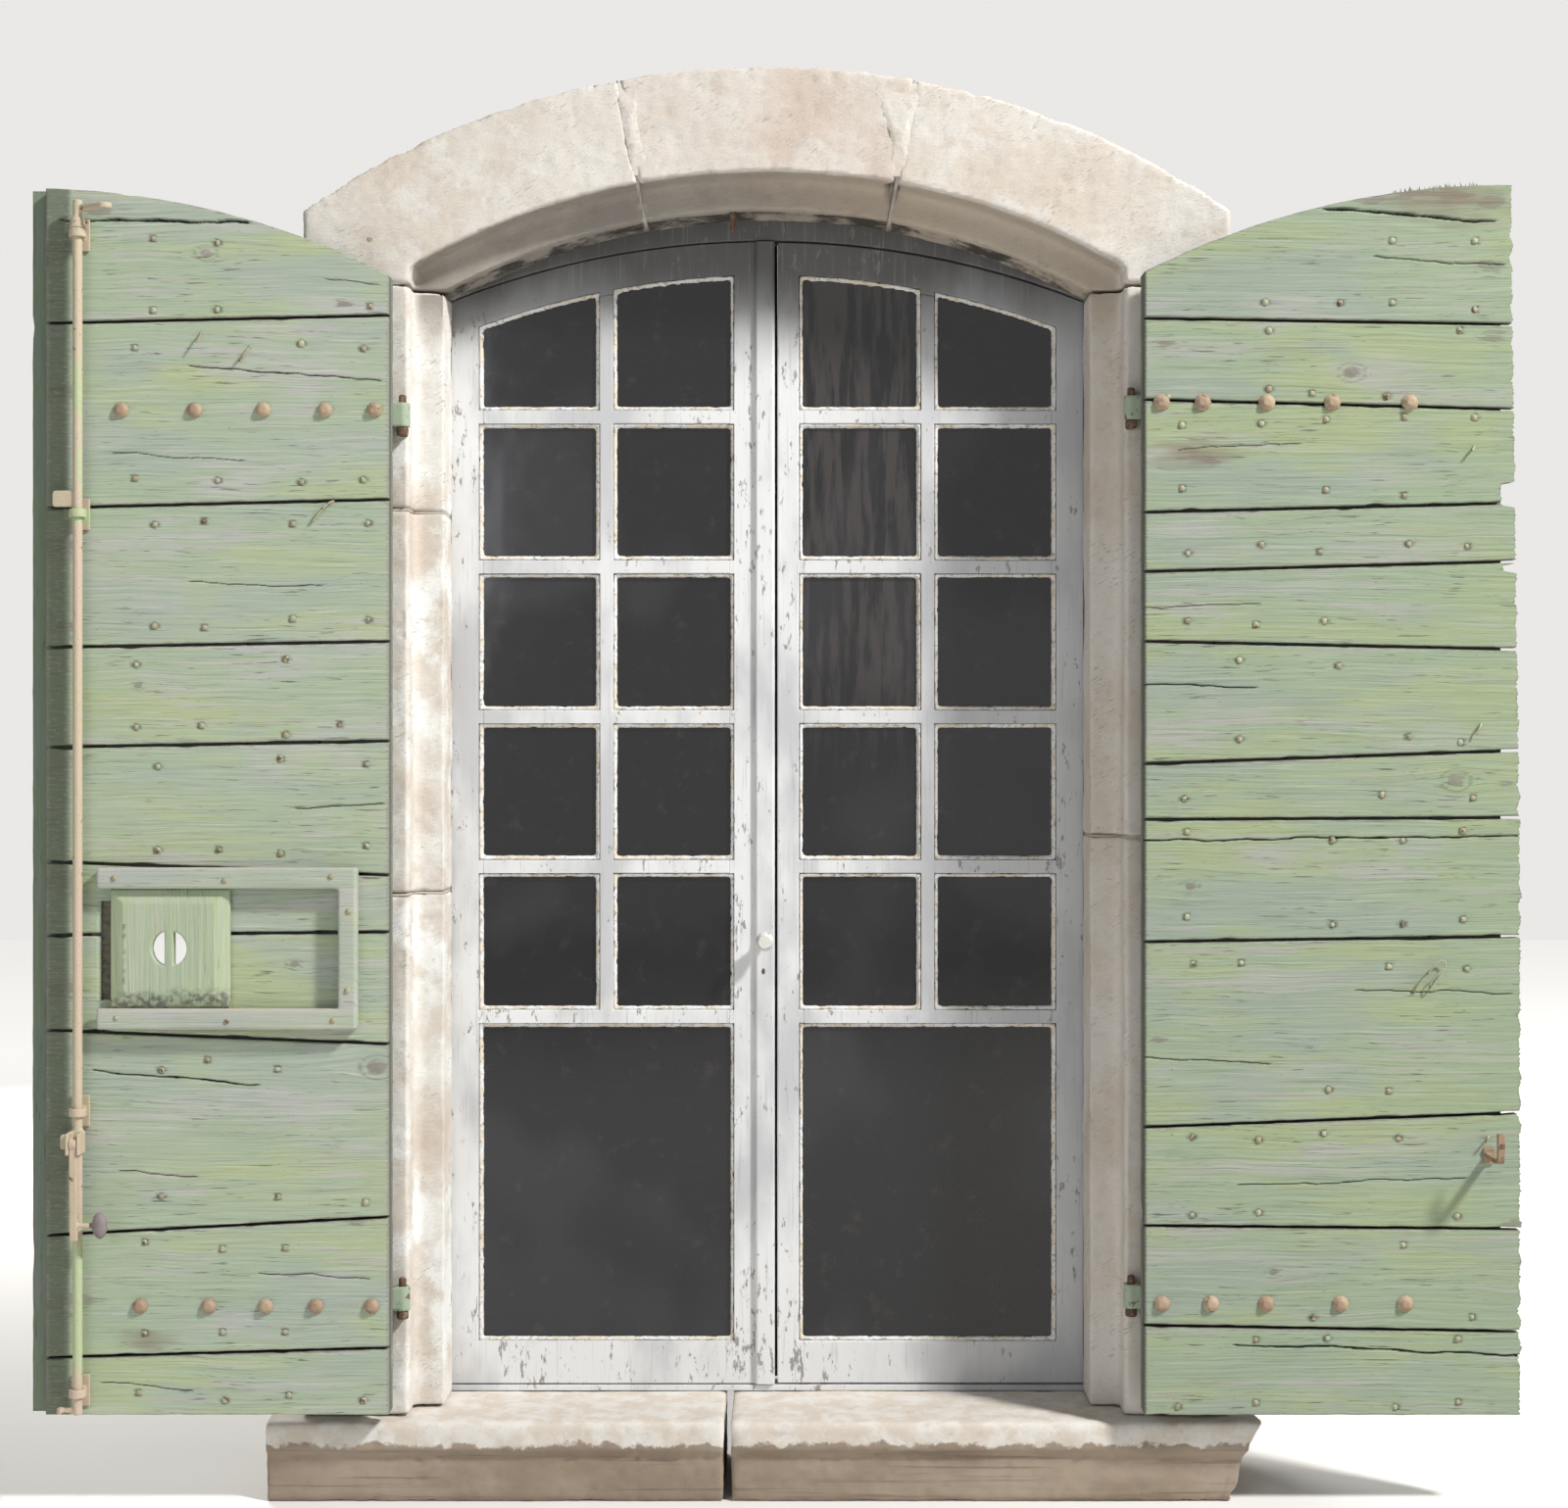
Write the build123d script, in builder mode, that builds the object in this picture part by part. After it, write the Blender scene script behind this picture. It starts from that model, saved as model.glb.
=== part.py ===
# A pair of boarded shutters on an arched window: a dressed-stone surround, a glazed casement
# window that opens inwards, and two shutter leaves hung on pintles and opened flat.
# Millimetres. X runs to the right, Y into the wall, Z up. The origin is under the middle of
# the sill, in the plane of the surround's face.

from build123d import *
import math
import os

os.makedirs("parts", exist_ok=True)

# Stone surround
opening_half = 594.0
arch_crown = 2207.0
arch_radius = 1189.0
rebate_width = 50.0
rebate_depth = 60.0
window_face = 160.0
jamb_width = 180.0
surround_depth = 260.0
ring_height = 179.0
stone_arris = 3.0
left_beds = (867.0, 1509.0)
right_bed = 964.0
springer_bed = 1884.0
keystone_angle = 10.4

# Sill
sill_height = 136.0
sill_overhang = 56.0
sill_nose = 35.0
sill_nose_height = 48.0
sill_undercut = 12.0
sill_round = 10.0
sill_joint = -65.0
sill_joint_width = 10.0

# Pintles and shutter hinges
pintle_inset = 10.0
pin_radius = 6.5
pin_stand = 14.0
pin_clearance = 0.05
pintle_shoulder_radius = 10.0
pintle_shoulder_height = 14.0
pintle_neck_width = 12.0
pintle_tail_length = 70.0
eye_radius = 12.5
eye_height = 40.0
eye_clearance = 0.4
seat_gap = 0.3
strap_thickness = 5.0
strap_length = 500.0
strap_tip_width = 30.0

# Shutter leaves, measured from the pintle's axis and from the leaf's bottom edge
leaf_seat = 12.0
leaf_edge = 14.0
leaf_lift = 22.0
leaf_arch_radius = 1300.0
board_thickness = 24.0
board_gap = 5.0
board_arris = 2.0
meeting_gap = 4.0
lap = 28.0
lap_clearance = 1.0
outer_board_count = 5
outer_board_gap = 3.0
left_leaf_crown = 2005.0
right_leaf_crown = 2010.0
# Height of each gap between boards at the hinge edge and at the free edge
left_gaps = (
    (109, 93), (323, 293), (606, 629), (789, 784), (882, 904),
    (1101, 1091), (1264, 1254), (1496, 1482), (1797, 1784),
)
right_gaps = (
    (146, 136), (309, 304), (470, 494), (773, 782), (973, 976), (1064, 1086),
    (1264, 1251), (1378, 1395), (1475, 1490), (1659, 1643), (1792, 1782),
)

# Strap bolts: height of each row and the bolts' distances from the pintle's axis
left_bolt_rows = ((178, (41, 132, 214, 307, 419)), (1642, (36, 117, 218, 330, 450)))
right_bolt_rows = ((182, (42, 122, 212, 333, 439)), (1654, (41, 108, 213, 320, 447)))
bolt_width = 8.0
bolt_hole_clearance = 0.1
bolt_head_radius = 15.0
bolt_head_height = 8.0
bolt_head_facets = 9
bolt_head_slope = 45.0
bolt_nut_width = 16.0
bolt_nut_height = 5.0

# Peep hatch on the left leaf
hatch_near = 62.0
hatch_length = 422.0
hatch_low = 632.0
batten_width = 34.0
end_batten_width = 30.0
batten_depth = 26.0
groove_height = 9.0
groove_depth = 10.0
panel_length = 195.0
panel_height = 195.0
panel_far = 465.0
panel_margin_thickness = 8.0
panel_field_thickness = 12.0
panel_field_border = 22.0
panel_field_clearance = 2.0
panel_running_gap = 0.5
moon_radius = 29.0
moon_bar = 14.0
peep_near = 306.0
peep_far = 484.0
peep_low = 678.0
peep_height = 162.0

# Espagnolette bolt on the left leaf
rod_distance = 515.0
rod_radius = 8.0
rod_standoff = 22.0
rod_low = 7.0
rod_high = 1980.0
rod_clearance = 0.1
guide_radius = 14.0
guide_height = 14.0
guide_levels = (42.0, 498.0, 1471.0, 1926.0)
guide_plate_width = 30.0
guide_plate_height = 52.0
guide_plate_thickness = 4.0
flange_radius = 13.0
flange_height = 5.0
ball_radius = 12.0
hook_height = 10.0
hook_thickness = 8.0
top_hook_level = 1961.0
top_hook_reach = 52.0
top_hook_angle = -30.0
top_hook_turn = 16.0
bottom_hook_level = 10.0
bottom_hook_reach = 22.0
bottom_hook_turn = 12.0
lug_thickness = 8.0
upper_lug_level = 1481.0
upper_lug_height = 27.0
upper_lug_reach = 40.0
lower_lug_reach = 28.0
lower_lug_height = 24.0
boss_level = 450.0
boss_height = 36.0
boss_radius = 12.0
pivot_reach = 21.0
fork_width = 24.0
fork_round = 3.0
fork_web = 1.0
handle_width = 12.0
handle_slot_clearance = 0.4
handle_pin_radius = 3.5
handle_eye_radius = 11.0
handle_length = 154.0
handle_tip_radius = 4.0
knob_offset = 42.0
knob_drop = 132.0
knob_width = 25.0
knob_height = 43.0
knob_stem_radius = 4.0

# Handle catch on the right leaf
catch_distance = 575.0
catch_level = 424.0
catch_reach = 68.0
catch_rise = 46.0
catch_bar_width = 12.0
catch_bar_thickness = 8.0
catch_bend_radius = 9.0
catch_plate_width = 20.0
catch_plate_height = 28.0
catch_plate_thickness = 4.0

# Keeper rod for the top hook, let into the keystone
keeper_x = -58.0
keeper_y = 78.0
keeper_radius = 5.0
keeper_drop = 34.0
keeper_depth = 40.0

# Timber window
window_clearance = 2.0
frame_depth = 46.0
frame_sight = 44.0
frame_cill_height = 10.0
frame_head_crown = 2127.0
frame_head_radius = 1493.0
sash_gap = 3.0
sash_depth = 44.0
hinge_stile = 55.0
meeting_x = 15.0
meeting_stile_gap = 5.0
left_meeting_stile = 78.0
right_meeting_stile = 45.0
bottom_rail = 81.0
head_rail = 64.0
glazing_bar = 39.0
first_bar = 764.0
bar_pitch = 259.5
bar_count = 5
glass_rebate = 8.0
glass_rebate_depth = 12.0
glass_thickness = 3.0
putty_setback = 0.5
putty_bevel = 6.0
astragal_width = 34.0
astragal_height = 8.0
astragal_round = 5.0

# Casement hinges and knob
hinge_levels = (300.0, 1080.0, 1820.0)
knuckle_radius = 6.5
knuckle_length = 34.0
hinge_pin_radius = 3.5
hinge_leaf_width = 30.0
hinge_leaf_thickness = 3.0
window_knob_level = 916.0
window_knob_radius = 16.0
window_knob_reach = 40.0
window_knob_rose_radius = 15.0
window_knob_rose_thickness = 3.5
window_knob_neck_radius = 6.5

# Places worked out from the sizes above
arch_centre = arch_crown - arch_radius
reveal_half = opening_half - rebate_width
reveal_radius = arch_radius - rebate_width
reveal_crown = arch_crown - rebate_width
surround_half = opening_half + jamb_width
ring_radius = arch_radius + ring_height
ring_crown = arch_crown + ring_height
pintle_x = opening_half + pintle_inset
pintle_y = -(eye_radius + eye_clearance)
leaf_bottom = sill_height + leaf_lift
leaf_width = pintle_x - leaf_edge - meeting_gap / 2
left_inner_width = leaf_width - lap
right_inner_width = leaf_width + lap
right_outer_thickness = board_thickness + lap_clearance
leaf_back = Plane.XZ.offset(leaf_seat - pintle_y)
left_layer = leaf_back.offset(board_thickness)
right_layer = leaf_back.offset(right_outer_thickness)
left_face = left_layer.offset(board_thickness)
right_face = right_layer.offset(board_thickness)
sash_plane = Plane.XZ.offset(-window_face - window_clearance)
frame_plane = Plane.XZ.offset(-window_face)


def save(part, name):
    part.label = name
    export_step(part, f"parts/{name}.step")


def arc_height(x, crown, radius, centre=0.0):
    """Height at x of an arc whose highest point is over the centre."""
    return crown - radius + math.sqrt(radius**2 - (x - centre) ** 2)


def arched_face(start, end, base, crown, radius, centre=0.0):
    """A panel with straight sides from start to end and a segmental head."""
    xs = (end, (start + end) / 2, start)
    head = [(x, arc_height(x, crown, radius, centre)) for x in xs]
    with BuildSketch() as panel:
        with BuildLine():
            Polyline(head[2], (start, base), (end, base), head[0])
            ThreePointArc(*head)
        make_face()
    return panel.sketch


# Pintles: a pin with a shoulder, cranked into a tail that is let into the jamb
def pintle(side, level):
    """One pintle, its pin through the eye whose bottom is at the given level."""
    place = Plane((side * pintle_x, pintle_y, level))
    with BuildPart() as iron:
        with BuildSketch(place.offset(-pintle_shoulder_height - seat_gap)):
            Circle(pintle_shoulder_radius)
            with Locations((0, -pintle_y / 2)):
                Rectangle(pintle_neck_width, -pintle_y)
        extrude(amount=pintle_shoulder_height)
        with BuildSketch(place.offset(-seat_gap)):
            Circle(pin_radius)
        extrude(amount=eye_height + seat_gap + pin_stand)
        chamfer(iron.faces().sort_by(Axis.Z)[-1].edges(), pin_radius / 3)
        with BuildSketch(Plane.XZ):
            with Locations((side * pintle_x, level - seat_gap - pintle_shoulder_height / 2)):
                Rectangle(pintle_neck_width, pintle_shoulder_height)
        extrude(amount=-pintle_tail_length)
    return iron.part


def pintle_set(side, bolt_rows):
    with BuildPart() as irons:
        for row, _ in bolt_rows:
            add(pintle(side, leaf_bottom + row - eye_height / 2))
    return irons.part


left_pintles = pintle_set(-1, left_bolt_rows)
save(left_pintles, "left_pintles")
right_pintles = pintle_set(1, right_bolt_rows)
save(right_pintles, "right_pintles")

# Keeper rod that hangs from the arch for the espagnolette's top hook
keeper_top = arc_height(keeper_x, reveal_crown, reveal_radius) + keeper_depth
with BuildPart() as hook_keeper:
    with BuildSketch(Plane((keeper_x, keeper_y, keeper_top))):
        Circle(keeper_radius)
    extrude(amount=-keeper_depth - keeper_drop)
    chamfer(hook_keeper.faces().sort_by(Axis.Z)[0].edges(), keeper_radius / 3)
save(hook_keeper.part, "hook_keeper")

# The ring of dressed stone, before it is cut into its stones
with BuildPart() as surround:
    with BuildSketch(Plane.XZ):
        add(arched_face(-surround_half, surround_half, sill_height, ring_crown, ring_radius))
    extrude(amount=-surround_depth)
    with BuildSketch(Plane.XZ):
        add(arched_face(-opening_half, opening_half, 0, arch_crown, arch_radius))
    extrude(amount=-rebate_depth, mode=Mode.SUBTRACT)
    with BuildSketch(Plane.XZ):
        add(arched_face(-reveal_half, reveal_half, 0, reveal_crown, reveal_radius))
    extrude(amount=-surround_depth, mode=Mode.SUBTRACT)
    with BuildSketch(frame_plane):
        add(arched_face(-opening_half, opening_half, 0, arch_crown, arch_radius))
    extrude(amount=-surround_depth, mode=Mode.SUBTRACT)
    add([left_pintles, right_pintles, hook_keeper.part], mode=Mode.SUBTRACT)


def stone(name, *corners):
    """One stone of the ring: what lies inside the corners, with its face arrises eased."""
    with BuildPart() as block:
        add(surround.part)
        with BuildSketch(Plane.XZ):
            Polygon(*corners)
        extrude(amount=-surround_depth, mode=Mode.INTERSECT)
        front = block.faces().filter_by(Plane.XZ).sort_by(Axis.Y)[0]
        chamfer(front.outer_wire().edges(), stone_arris)
    save(block.part, name)


def jamb_stone(name, side, low, high):
    outside = side * 2 * surround_half
    stone(name, (outside, low), (0, low), (0, high), (outside, high))


def joint_x(angle, height):
    """Where a radial joint of the arch crosses a height."""
    return (height - arch_centre) * math.tan(math.radians(angle))


left_joints = (sill_height, *(sill_height + bed for bed in left_beds), sill_height + springer_bed)
for number, (low, high) in enumerate(zip(left_joints, left_joints[1:]), 1):
    jamb_stone(f"left_jamb_stone_{number}", -1, low, high)
right_joints = (sill_height, sill_height + right_bed, sill_height + springer_bed)
for number, (low, high) in enumerate(zip(right_joints, right_joints[1:]), 1):
    jamb_stone(f"right_jamb_stone_{number}", 1, low, high)

arch_low = sill_height + springer_bed
arch_high = 2 * ring_crown
low_x = joint_x(keystone_angle, arch_low)
high_x = joint_x(keystone_angle, arch_high)
for name, side in (("left_arch_stone", -1), ("right_arch_stone", 1)):
    outside = side * 2 * surround_half
    stone(
        name,
        (outside, arch_low), (side * low_x, arch_low),
        (side * high_x, arch_high), (outside, arch_high),
    )
stone("keystone", (-low_x, arch_low), (low_x, arch_low), (high_x, arch_high), (-high_x, arch_high))


def sill_stone(name, start, end):
    front = -sill_nose
    with BuildPart() as block:
        with BuildSketch(Plane.YZ.offset(start)):
            with BuildLine():
                nose_low = sill_height - sill_nose_height
                Polyline(
                    (front + sill_round, sill_height),
                    (surround_depth, sill_height),
                    (surround_depth, 0),
                    (front + sill_undercut, 0),
                    (front + sill_undercut, nose_low - sill_undercut),
                    (front, nose_low),
                    (front, sill_height - sill_round),
                )
                RadiusArc(
                    (front, sill_height - sill_round),
                    (front + sill_round, sill_height),
                    sill_round,
                )
            make_face()
        extrude(amount=end - start)
        ends = block.faces().filter_by(Axis.X)
        chamfer(ends.edges().filter_by(GeomType.LINE).group_by(Axis.Y)[0], stone_arris)
    save(block.part, name)


sill_half = surround_half + sill_overhang
sill_stone("sill_stone_left", -sill_half, sill_joint - sill_joint_width / 2)
sill_stone("sill_stone_right", sill_joint + sill_joint_width / 2, sill_half)


# Fixed window frame, seated behind the stone reveal and standing on the sill
frame_half = opening_half - window_clearance
sash_half = opening_half - frame_sight - sash_gap
with BuildPart() as window_frame:
    with BuildSketch(frame_plane):
        add(arched_face(
            -frame_half, frame_half, sill_height,
            arch_crown - window_clearance, arch_radius - window_clearance,
        ))
        inside = opening_half - frame_sight
        add(
            arched_face(-inside, inside, sill_height + frame_cill_height,
                        frame_head_crown, frame_head_radius),
            mode=Mode.SUBTRACT,
        )
    extrude(amount=-frame_depth)
save(window_frame.part, "window_frame")

# Casements: joinery with a glazing rebate, panes, putty
sash_bottom = sill_height + frame_cill_height + sash_gap
sash_crown = frame_head_crown - sash_gap
sash_radius = frame_head_radius - sash_gap
rail_top = sash_bottom + bottom_rail


def glazed_area(start, end, grow=0.0):
    """The whole glazed area of a casement, larger all round by grow."""
    return arched_face(
        start - grow, end + grow, rail_top - grow,
        sash_crown - head_rail + grow, sash_radius - head_rail + grow,
    )


def pane_faces(start, end, grow=0.0):
    """The panes: one tall one below, and pairs above it between the glazing bars."""
    middle = (start + end) / 2
    with BuildSketch() as panes:
        add(glazed_area(start, end, grow))
        for level in range(bar_count):
            with Locations((middle, first_bar + level * bar_pitch + glazing_bar / 2)):
                Rectangle(2 * (end - start), glazing_bar - 2 * grow, mode=Mode.SUBTRACT)
        with Locations((middle, first_bar + glazing_bar / 2)):
            Rectangle(
                glazing_bar - 2 * grow, 2 * sash_crown,
                align=(Align.CENTER, Align.MIN), mode=Mode.SUBTRACT,
            )
    return panes.sketch


def casement(side, start, end, left_stile, right_stile):
    """Sash, bars, panes and putty of one casement."""
    inner_start = start + left_stile
    inner_end = end - right_stile
    with BuildPart() as joinery:
        with BuildSketch(sash_plane):
            add(arched_face(start, end, sash_bottom, sash_crown, sash_radius))
        extrude(amount=-sash_depth)
        with BuildSketch(sash_plane):
            add(pane_faces(inner_start, inner_end))
        extrude(amount=-sash_depth, mode=Mode.SUBTRACT)
        with BuildSketch(sash_plane):
            add(pane_faces(inner_start, inner_end, glass_rebate))
        extrude(amount=-glass_rebate_depth, mode=Mode.SUBTRACT)
    with BuildPart() as sash:
        add(joinery.part)
        with BuildSketch(sash_plane):
            add(glazed_area(inner_start, inner_end))
        extrude(amount=-sash_depth, mode=Mode.SUBTRACT)
        if side == "left":
            with BuildSketch(sash_plane):
                strip = end - astragal_width
                add(arched_face(strip, end, sash_bottom, sash_crown, sash_radius))
            extrude(amount=astragal_height)
            edges = sash.faces().sort_by(Axis.Y)[0].edges().filter_by(Axis.Z)
            fillet(edges, astragal_round)
    save(sash.part, f"{side}_casement_sash")
    with BuildPart() as bars:
        add(joinery.part)
        with BuildSketch(sash_plane):
            add(glazed_area(inner_start, inner_end))
        extrude(amount=-sash_depth, mode=Mode.INTERSECT)
    save(bars.part, f"{side}_casement_bars")
    with BuildPart() as panes:
        with BuildSketch(sash_plane.offset(-glass_rebate_depth)):
            add(pane_faces(inner_start, inner_end, glass_rebate - putty_setback))
        extrude(amount=glass_thickness)
    save(panes.part, f"{side}_casement_panes")
    with BuildPart() as putty:
        with BuildSketch(sash_plane.offset(-putty_setback)):
            add(pane_faces(inner_start, inner_end, glass_rebate))
            add(pane_faces(inner_start, inner_end), mode=Mode.SUBTRACT)
        extrude(amount=putty_setback + glass_thickness - glass_rebate_depth)
        fronts = putty.faces().filter_by(Plane.XZ).group_by(Axis.Y)[0]
        rims = [edge for face in fronts for wire in face.inner_wires() for edge in wire.edges()]
        chamfer(rims, putty_bevel)
    save(putty.part, f"{side}_casement_putty")


left_end = meeting_x - meeting_stile_gap / 2
right_start = meeting_x + meeting_stile_gap / 2
casement("left", -sash_half, left_end, hinge_stile, left_meeting_stile)
casement("right", right_start, sash_half, right_meeting_stile, hinge_stile)

# Casement hinges: the lower knuckle and its pin on the frame, the upper knuckle on the sash
hinge_x = opening_half - frame_sight - sash_gap / 2
hinge_y = window_face + window_clearance + sash_depth + knuckle_radius + seat_gap
leaf_plane_y = window_face + window_clearance + sash_depth


def knuckle_outline(place, toward):
    """Section of a hinge: the knuckle and the flat leaf that runs from it."""
    with BuildSketch(place) as section:
        Circle(knuckle_radius)
        with Locations((toward * hinge_leaf_width / 2, leaf_plane_y - hinge_y)):
            Rectangle(hinge_leaf_width, hinge_leaf_thickness, align=(Align.CENTER, Align.MIN))
    return section.sketch


with BuildPart() as frame_hinges:
    for side in (-1, 1):
        for level in hinge_levels:
            place = Plane((side * hinge_x, hinge_y, level))
            add(extrude(knuckle_outline(place, side), amount=knuckle_length, mode=Mode.PRIVATE))
            with BuildSketch(place):
                Circle(hinge_pin_radius)
            extrude(amount=2 * knuckle_length)
save(frame_hinges.part, "frame_hinges")

for name, side in (("left", -1), ("right", 1)):
    with BuildPart() as sash_hinges:
        for level in hinge_levels:
            place = Plane((side * hinge_x, hinge_y, level + knuckle_length + seat_gap))
            add(extrude(knuckle_outline(place, -side), amount=knuckle_length, mode=Mode.PRIVATE))
            with BuildSketch(place):
                Circle(hinge_pin_radius + pin_clearance)
            extrude(amount=knuckle_length, mode=Mode.SUBTRACT)
    save(sash_hinges.part, f"{name}_casement_hinges")

# Turned pull knob on the meeting stile
knob_x = left_end - astragal_width / 2
knob_y = window_face + window_clearance - astragal_height
with BuildPart() as window_knob:
    with BuildSketch(Plane((knob_x, knob_y, window_knob_level))):
        with BuildLine():
            Polyline(
                (0, 0), (window_knob_rose_radius, 0),
                (window_knob_neck_radius, -2 * window_knob_rose_thickness),
                (window_knob_radius, -window_knob_reach * 0.7),
                (window_knob_radius * 0.65, -window_knob_reach),
                (0, -window_knob_reach), close=True,
            )
        make_face()
    revolve(axis=Axis((knob_x, knob_y, window_knob_level), (0, 1, 0)))
save(window_knob.part, "window_knob")


# Shutter leaves
def leaf_outline(side, width, crown):
    """Outline of one layer of a leaf, opened flat beside the window."""
    near = side * (pintle_x + leaf_edge)
    far = near + side * width
    return arched_face(
        min(near, far), max(near, far), leaf_bottom,
        leaf_bottom + crown, leaf_arch_radius, side * 2 * pintle_x,
    )


def place_on_leaf(side, distance, height):
    return (side * (pintle_x + distance), leaf_bottom + height)


# One strap bolt along Y: hammered head on the inner face, square shank, square nut on the strap
def strap_bolt(grip):
    with BuildPart() as bolt:
        with BuildSketch(Plane.XZ):
            RegularPolygon(bolt_head_radius, bolt_head_facets)
        extrude(amount=bolt_head_height, taper=bolt_head_slope)
        with BuildSketch(Plane.XZ):
            Rectangle(bolt_width, bolt_width)
        extrude(amount=-grip - bolt_nut_height)
        with BuildSketch(Plane.XZ.offset(-grip)):
            Rectangle(bolt_nut_width, bolt_nut_width)
        extrude(amount=-bolt_nut_height)
    return bolt.part


def bolt_places(side, face, rows):
    """Where the strap bolts' heads sit on the leaf's inner face."""
    spots = [place_on_leaf(side, d, row) for row, distances in rows for d in distances]
    return [(x, face.origin.Y, z) for x, z in spots]


def shutter_bolts(name, side, face, rows):
    grip = leaf_back.origin.Y - face.origin.Y + strap_thickness
    with BuildPart() as bolts:
        with Locations(*bolt_places(side, face, rows)):
            add(strap_bolt(grip))
    save(bolts.part, f"{name}_strap_bolts")


def bolt_holes(side, face, rows):
    """Square clearance holes for the strap bolts, through boards and strap."""
    hole_width = bolt_width + 2 * bolt_hole_clearance
    grip = leaf_back.origin.Y - face.origin.Y + strap_thickness
    with BuildPart() as holes:
        with Locations(*bolt_places(side, face, rows)):
            Box(hole_width, grip, hole_width, align=(Align.CENTER, Align.MIN, Align.CENTER))
    return holes.part


def shutter_straps(name, side, rows, holes):
    """Two strap hinges on the leaf's outer face, each with an eye for its pintle."""
    with BuildPart() as straps:
        for row, _ in rows:
            x, z = place_on_leaf(side, 0, row)
            tip = place_on_leaf(side, strap_length - strap_tip_width / 2, row)
            with BuildSketch(leaf_back):
                Polygon(
                    (x, z - eye_height / 2), (tip[0], z - strap_tip_width / 2),
                    (tip[0], z + strap_tip_width / 2), (x, z + eye_height / 2),
                )
                with Locations(tip):
                    Circle(strap_tip_width / 2)
            extrude(amount=-strap_thickness)
            with BuildSketch(Plane((x, pintle_y, z - eye_height / 2))):
                Circle(eye_radius)
            extrude(amount=eye_height)
            with BuildSketch(Plane((x, pintle_y, z - eye_height / 2))):
                Circle(pin_radius + pin_clearance)
            extrude(amount=eye_height, mode=Mode.SUBTRACT)
        add(holes, mode=Mode.SUBTRACT)
    save(straps.part, f"{name}_straps")


def outer_boards(name, side, thickness, crown, cut):
    """The vertical boards of the outer layer."""
    pitch = leaf_width / outer_board_count
    with BuildPart() as boards:
        with BuildSketch(leaf_back):
            add(leaf_outline(side, leaf_width, crown))
            for number in range(1, outer_board_count):
                with Locations(place_on_leaf(side, leaf_edge + number * pitch, crown / 2)):
                    Rectangle(outer_board_gap, 2 * crown, mode=Mode.SUBTRACT)
        extrude(amount=thickness)
        add(cut, mode=Mode.SUBTRACT)
    save(boards.part, f"{name}_outer_boards")


def inner_boards(name, side, layer, width, crown, gaps, cut):
    """The horizontal boards of the inner layer, each between two sloping gaps."""
    near = side * (pintle_x + leaf_edge)
    far = near + side * width
    half_gap = board_gap / 2
    lines = ((-half_gap, -half_gap), *gaps, (2 * crown, 2 * crown))
    for number, (low, high) in enumerate(zip(lines, lines[1:]), 1):
        with BuildPart() as board:
            with BuildSketch(layer):
                add(leaf_outline(side, width, crown))
                Polygon(
                    (near, leaf_bottom + low[0] + half_gap),
                    (far, leaf_bottom + low[1] + half_gap),
                    (far, leaf_bottom + high[1] - half_gap),
                    (near, leaf_bottom + high[0] - half_gap),
                    mode=Mode.INTERSECT,
                )
            extrude(amount=board_thickness)
            front = board.faces().filter_by(Plane.XZ).sort_by(Axis.Y)[0]
            chamfer(front.outer_wire().edges(), board_arris)
            add(cut, mode=Mode.SUBTRACT)
        save(board.part, f"{name}_board_{number:02d}")


# Peep opening through both layers of the left leaf
with BuildPart() as peep_opening:
    with BuildSketch(leaf_back):
        with Locations(place_on_leaf(-1, (peep_near + peep_far) / 2, peep_low + peep_height / 2)):
            Rectangle(peep_far - peep_near, peep_height)
    extrude(amount=2 * board_thickness)

left_holes = bolt_holes(-1, left_face, left_bolt_rows)
right_holes = bolt_holes(1, right_face, right_bolt_rows)
left_cuts = [left_holes, peep_opening.part]
inner_boards("left", -1, left_layer, left_inner_width, left_leaf_crown, left_gaps, left_cuts)
inner_boards("right", 1, right_layer, right_inner_width, right_leaf_crown, right_gaps, right_holes)
outer_boards("left", -1, board_thickness, left_leaf_crown, left_cuts)
outer_boards("right", 1, right_outer_thickness, right_leaf_crown, right_holes)
for name, side, face, rows, holes in (
    ("left", -1, left_face, left_bolt_rows, left_holes),
    ("right", 1, right_face, right_bolt_rows, right_holes),
):
    shutter_straps(name, side, rows, holes)
    shutter_bolts(name, side, face, rows)

# Battens round the hatch, the long ones grooved behind for the sliding panel
hatch_mid = hatch_low + batten_width + panel_height / 2
hatch_centre = place_on_leaf(-1, hatch_near + hatch_length / 2, hatch_mid)
with BuildPart() as hatch_battens:
    with BuildSketch(left_face):
        for up in (-1, 1):
            offset_z = up * (panel_height + batten_width) / 2
            with Locations((hatch_centre[0], hatch_centre[1] + offset_z)):
                Rectangle(hatch_length, batten_width)
        with Locations(place_on_leaf(-1, hatch_near + end_batten_width / 2, hatch_mid)):
            Rectangle(end_batten_width, panel_height - 2 * seat_gap)
    extrude(amount=batten_depth)
    with BuildSketch(left_face):
        groove_length = hatch_length - end_batten_width
        with Locations((hatch_centre[0] - end_batten_width / 2, hatch_centre[1])):
            Rectangle(groove_length, panel_height + 2 * groove_height)
    extrude(amount=groove_depth, mode=Mode.SUBTRACT)
    fronts = hatch_battens.faces().filter_by(Plane.XZ).group_by(Axis.Y)[0]
    chamfer(fronts.edges(), board_arris)
save(hatch_battens.part, "hatch_battens")

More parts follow.
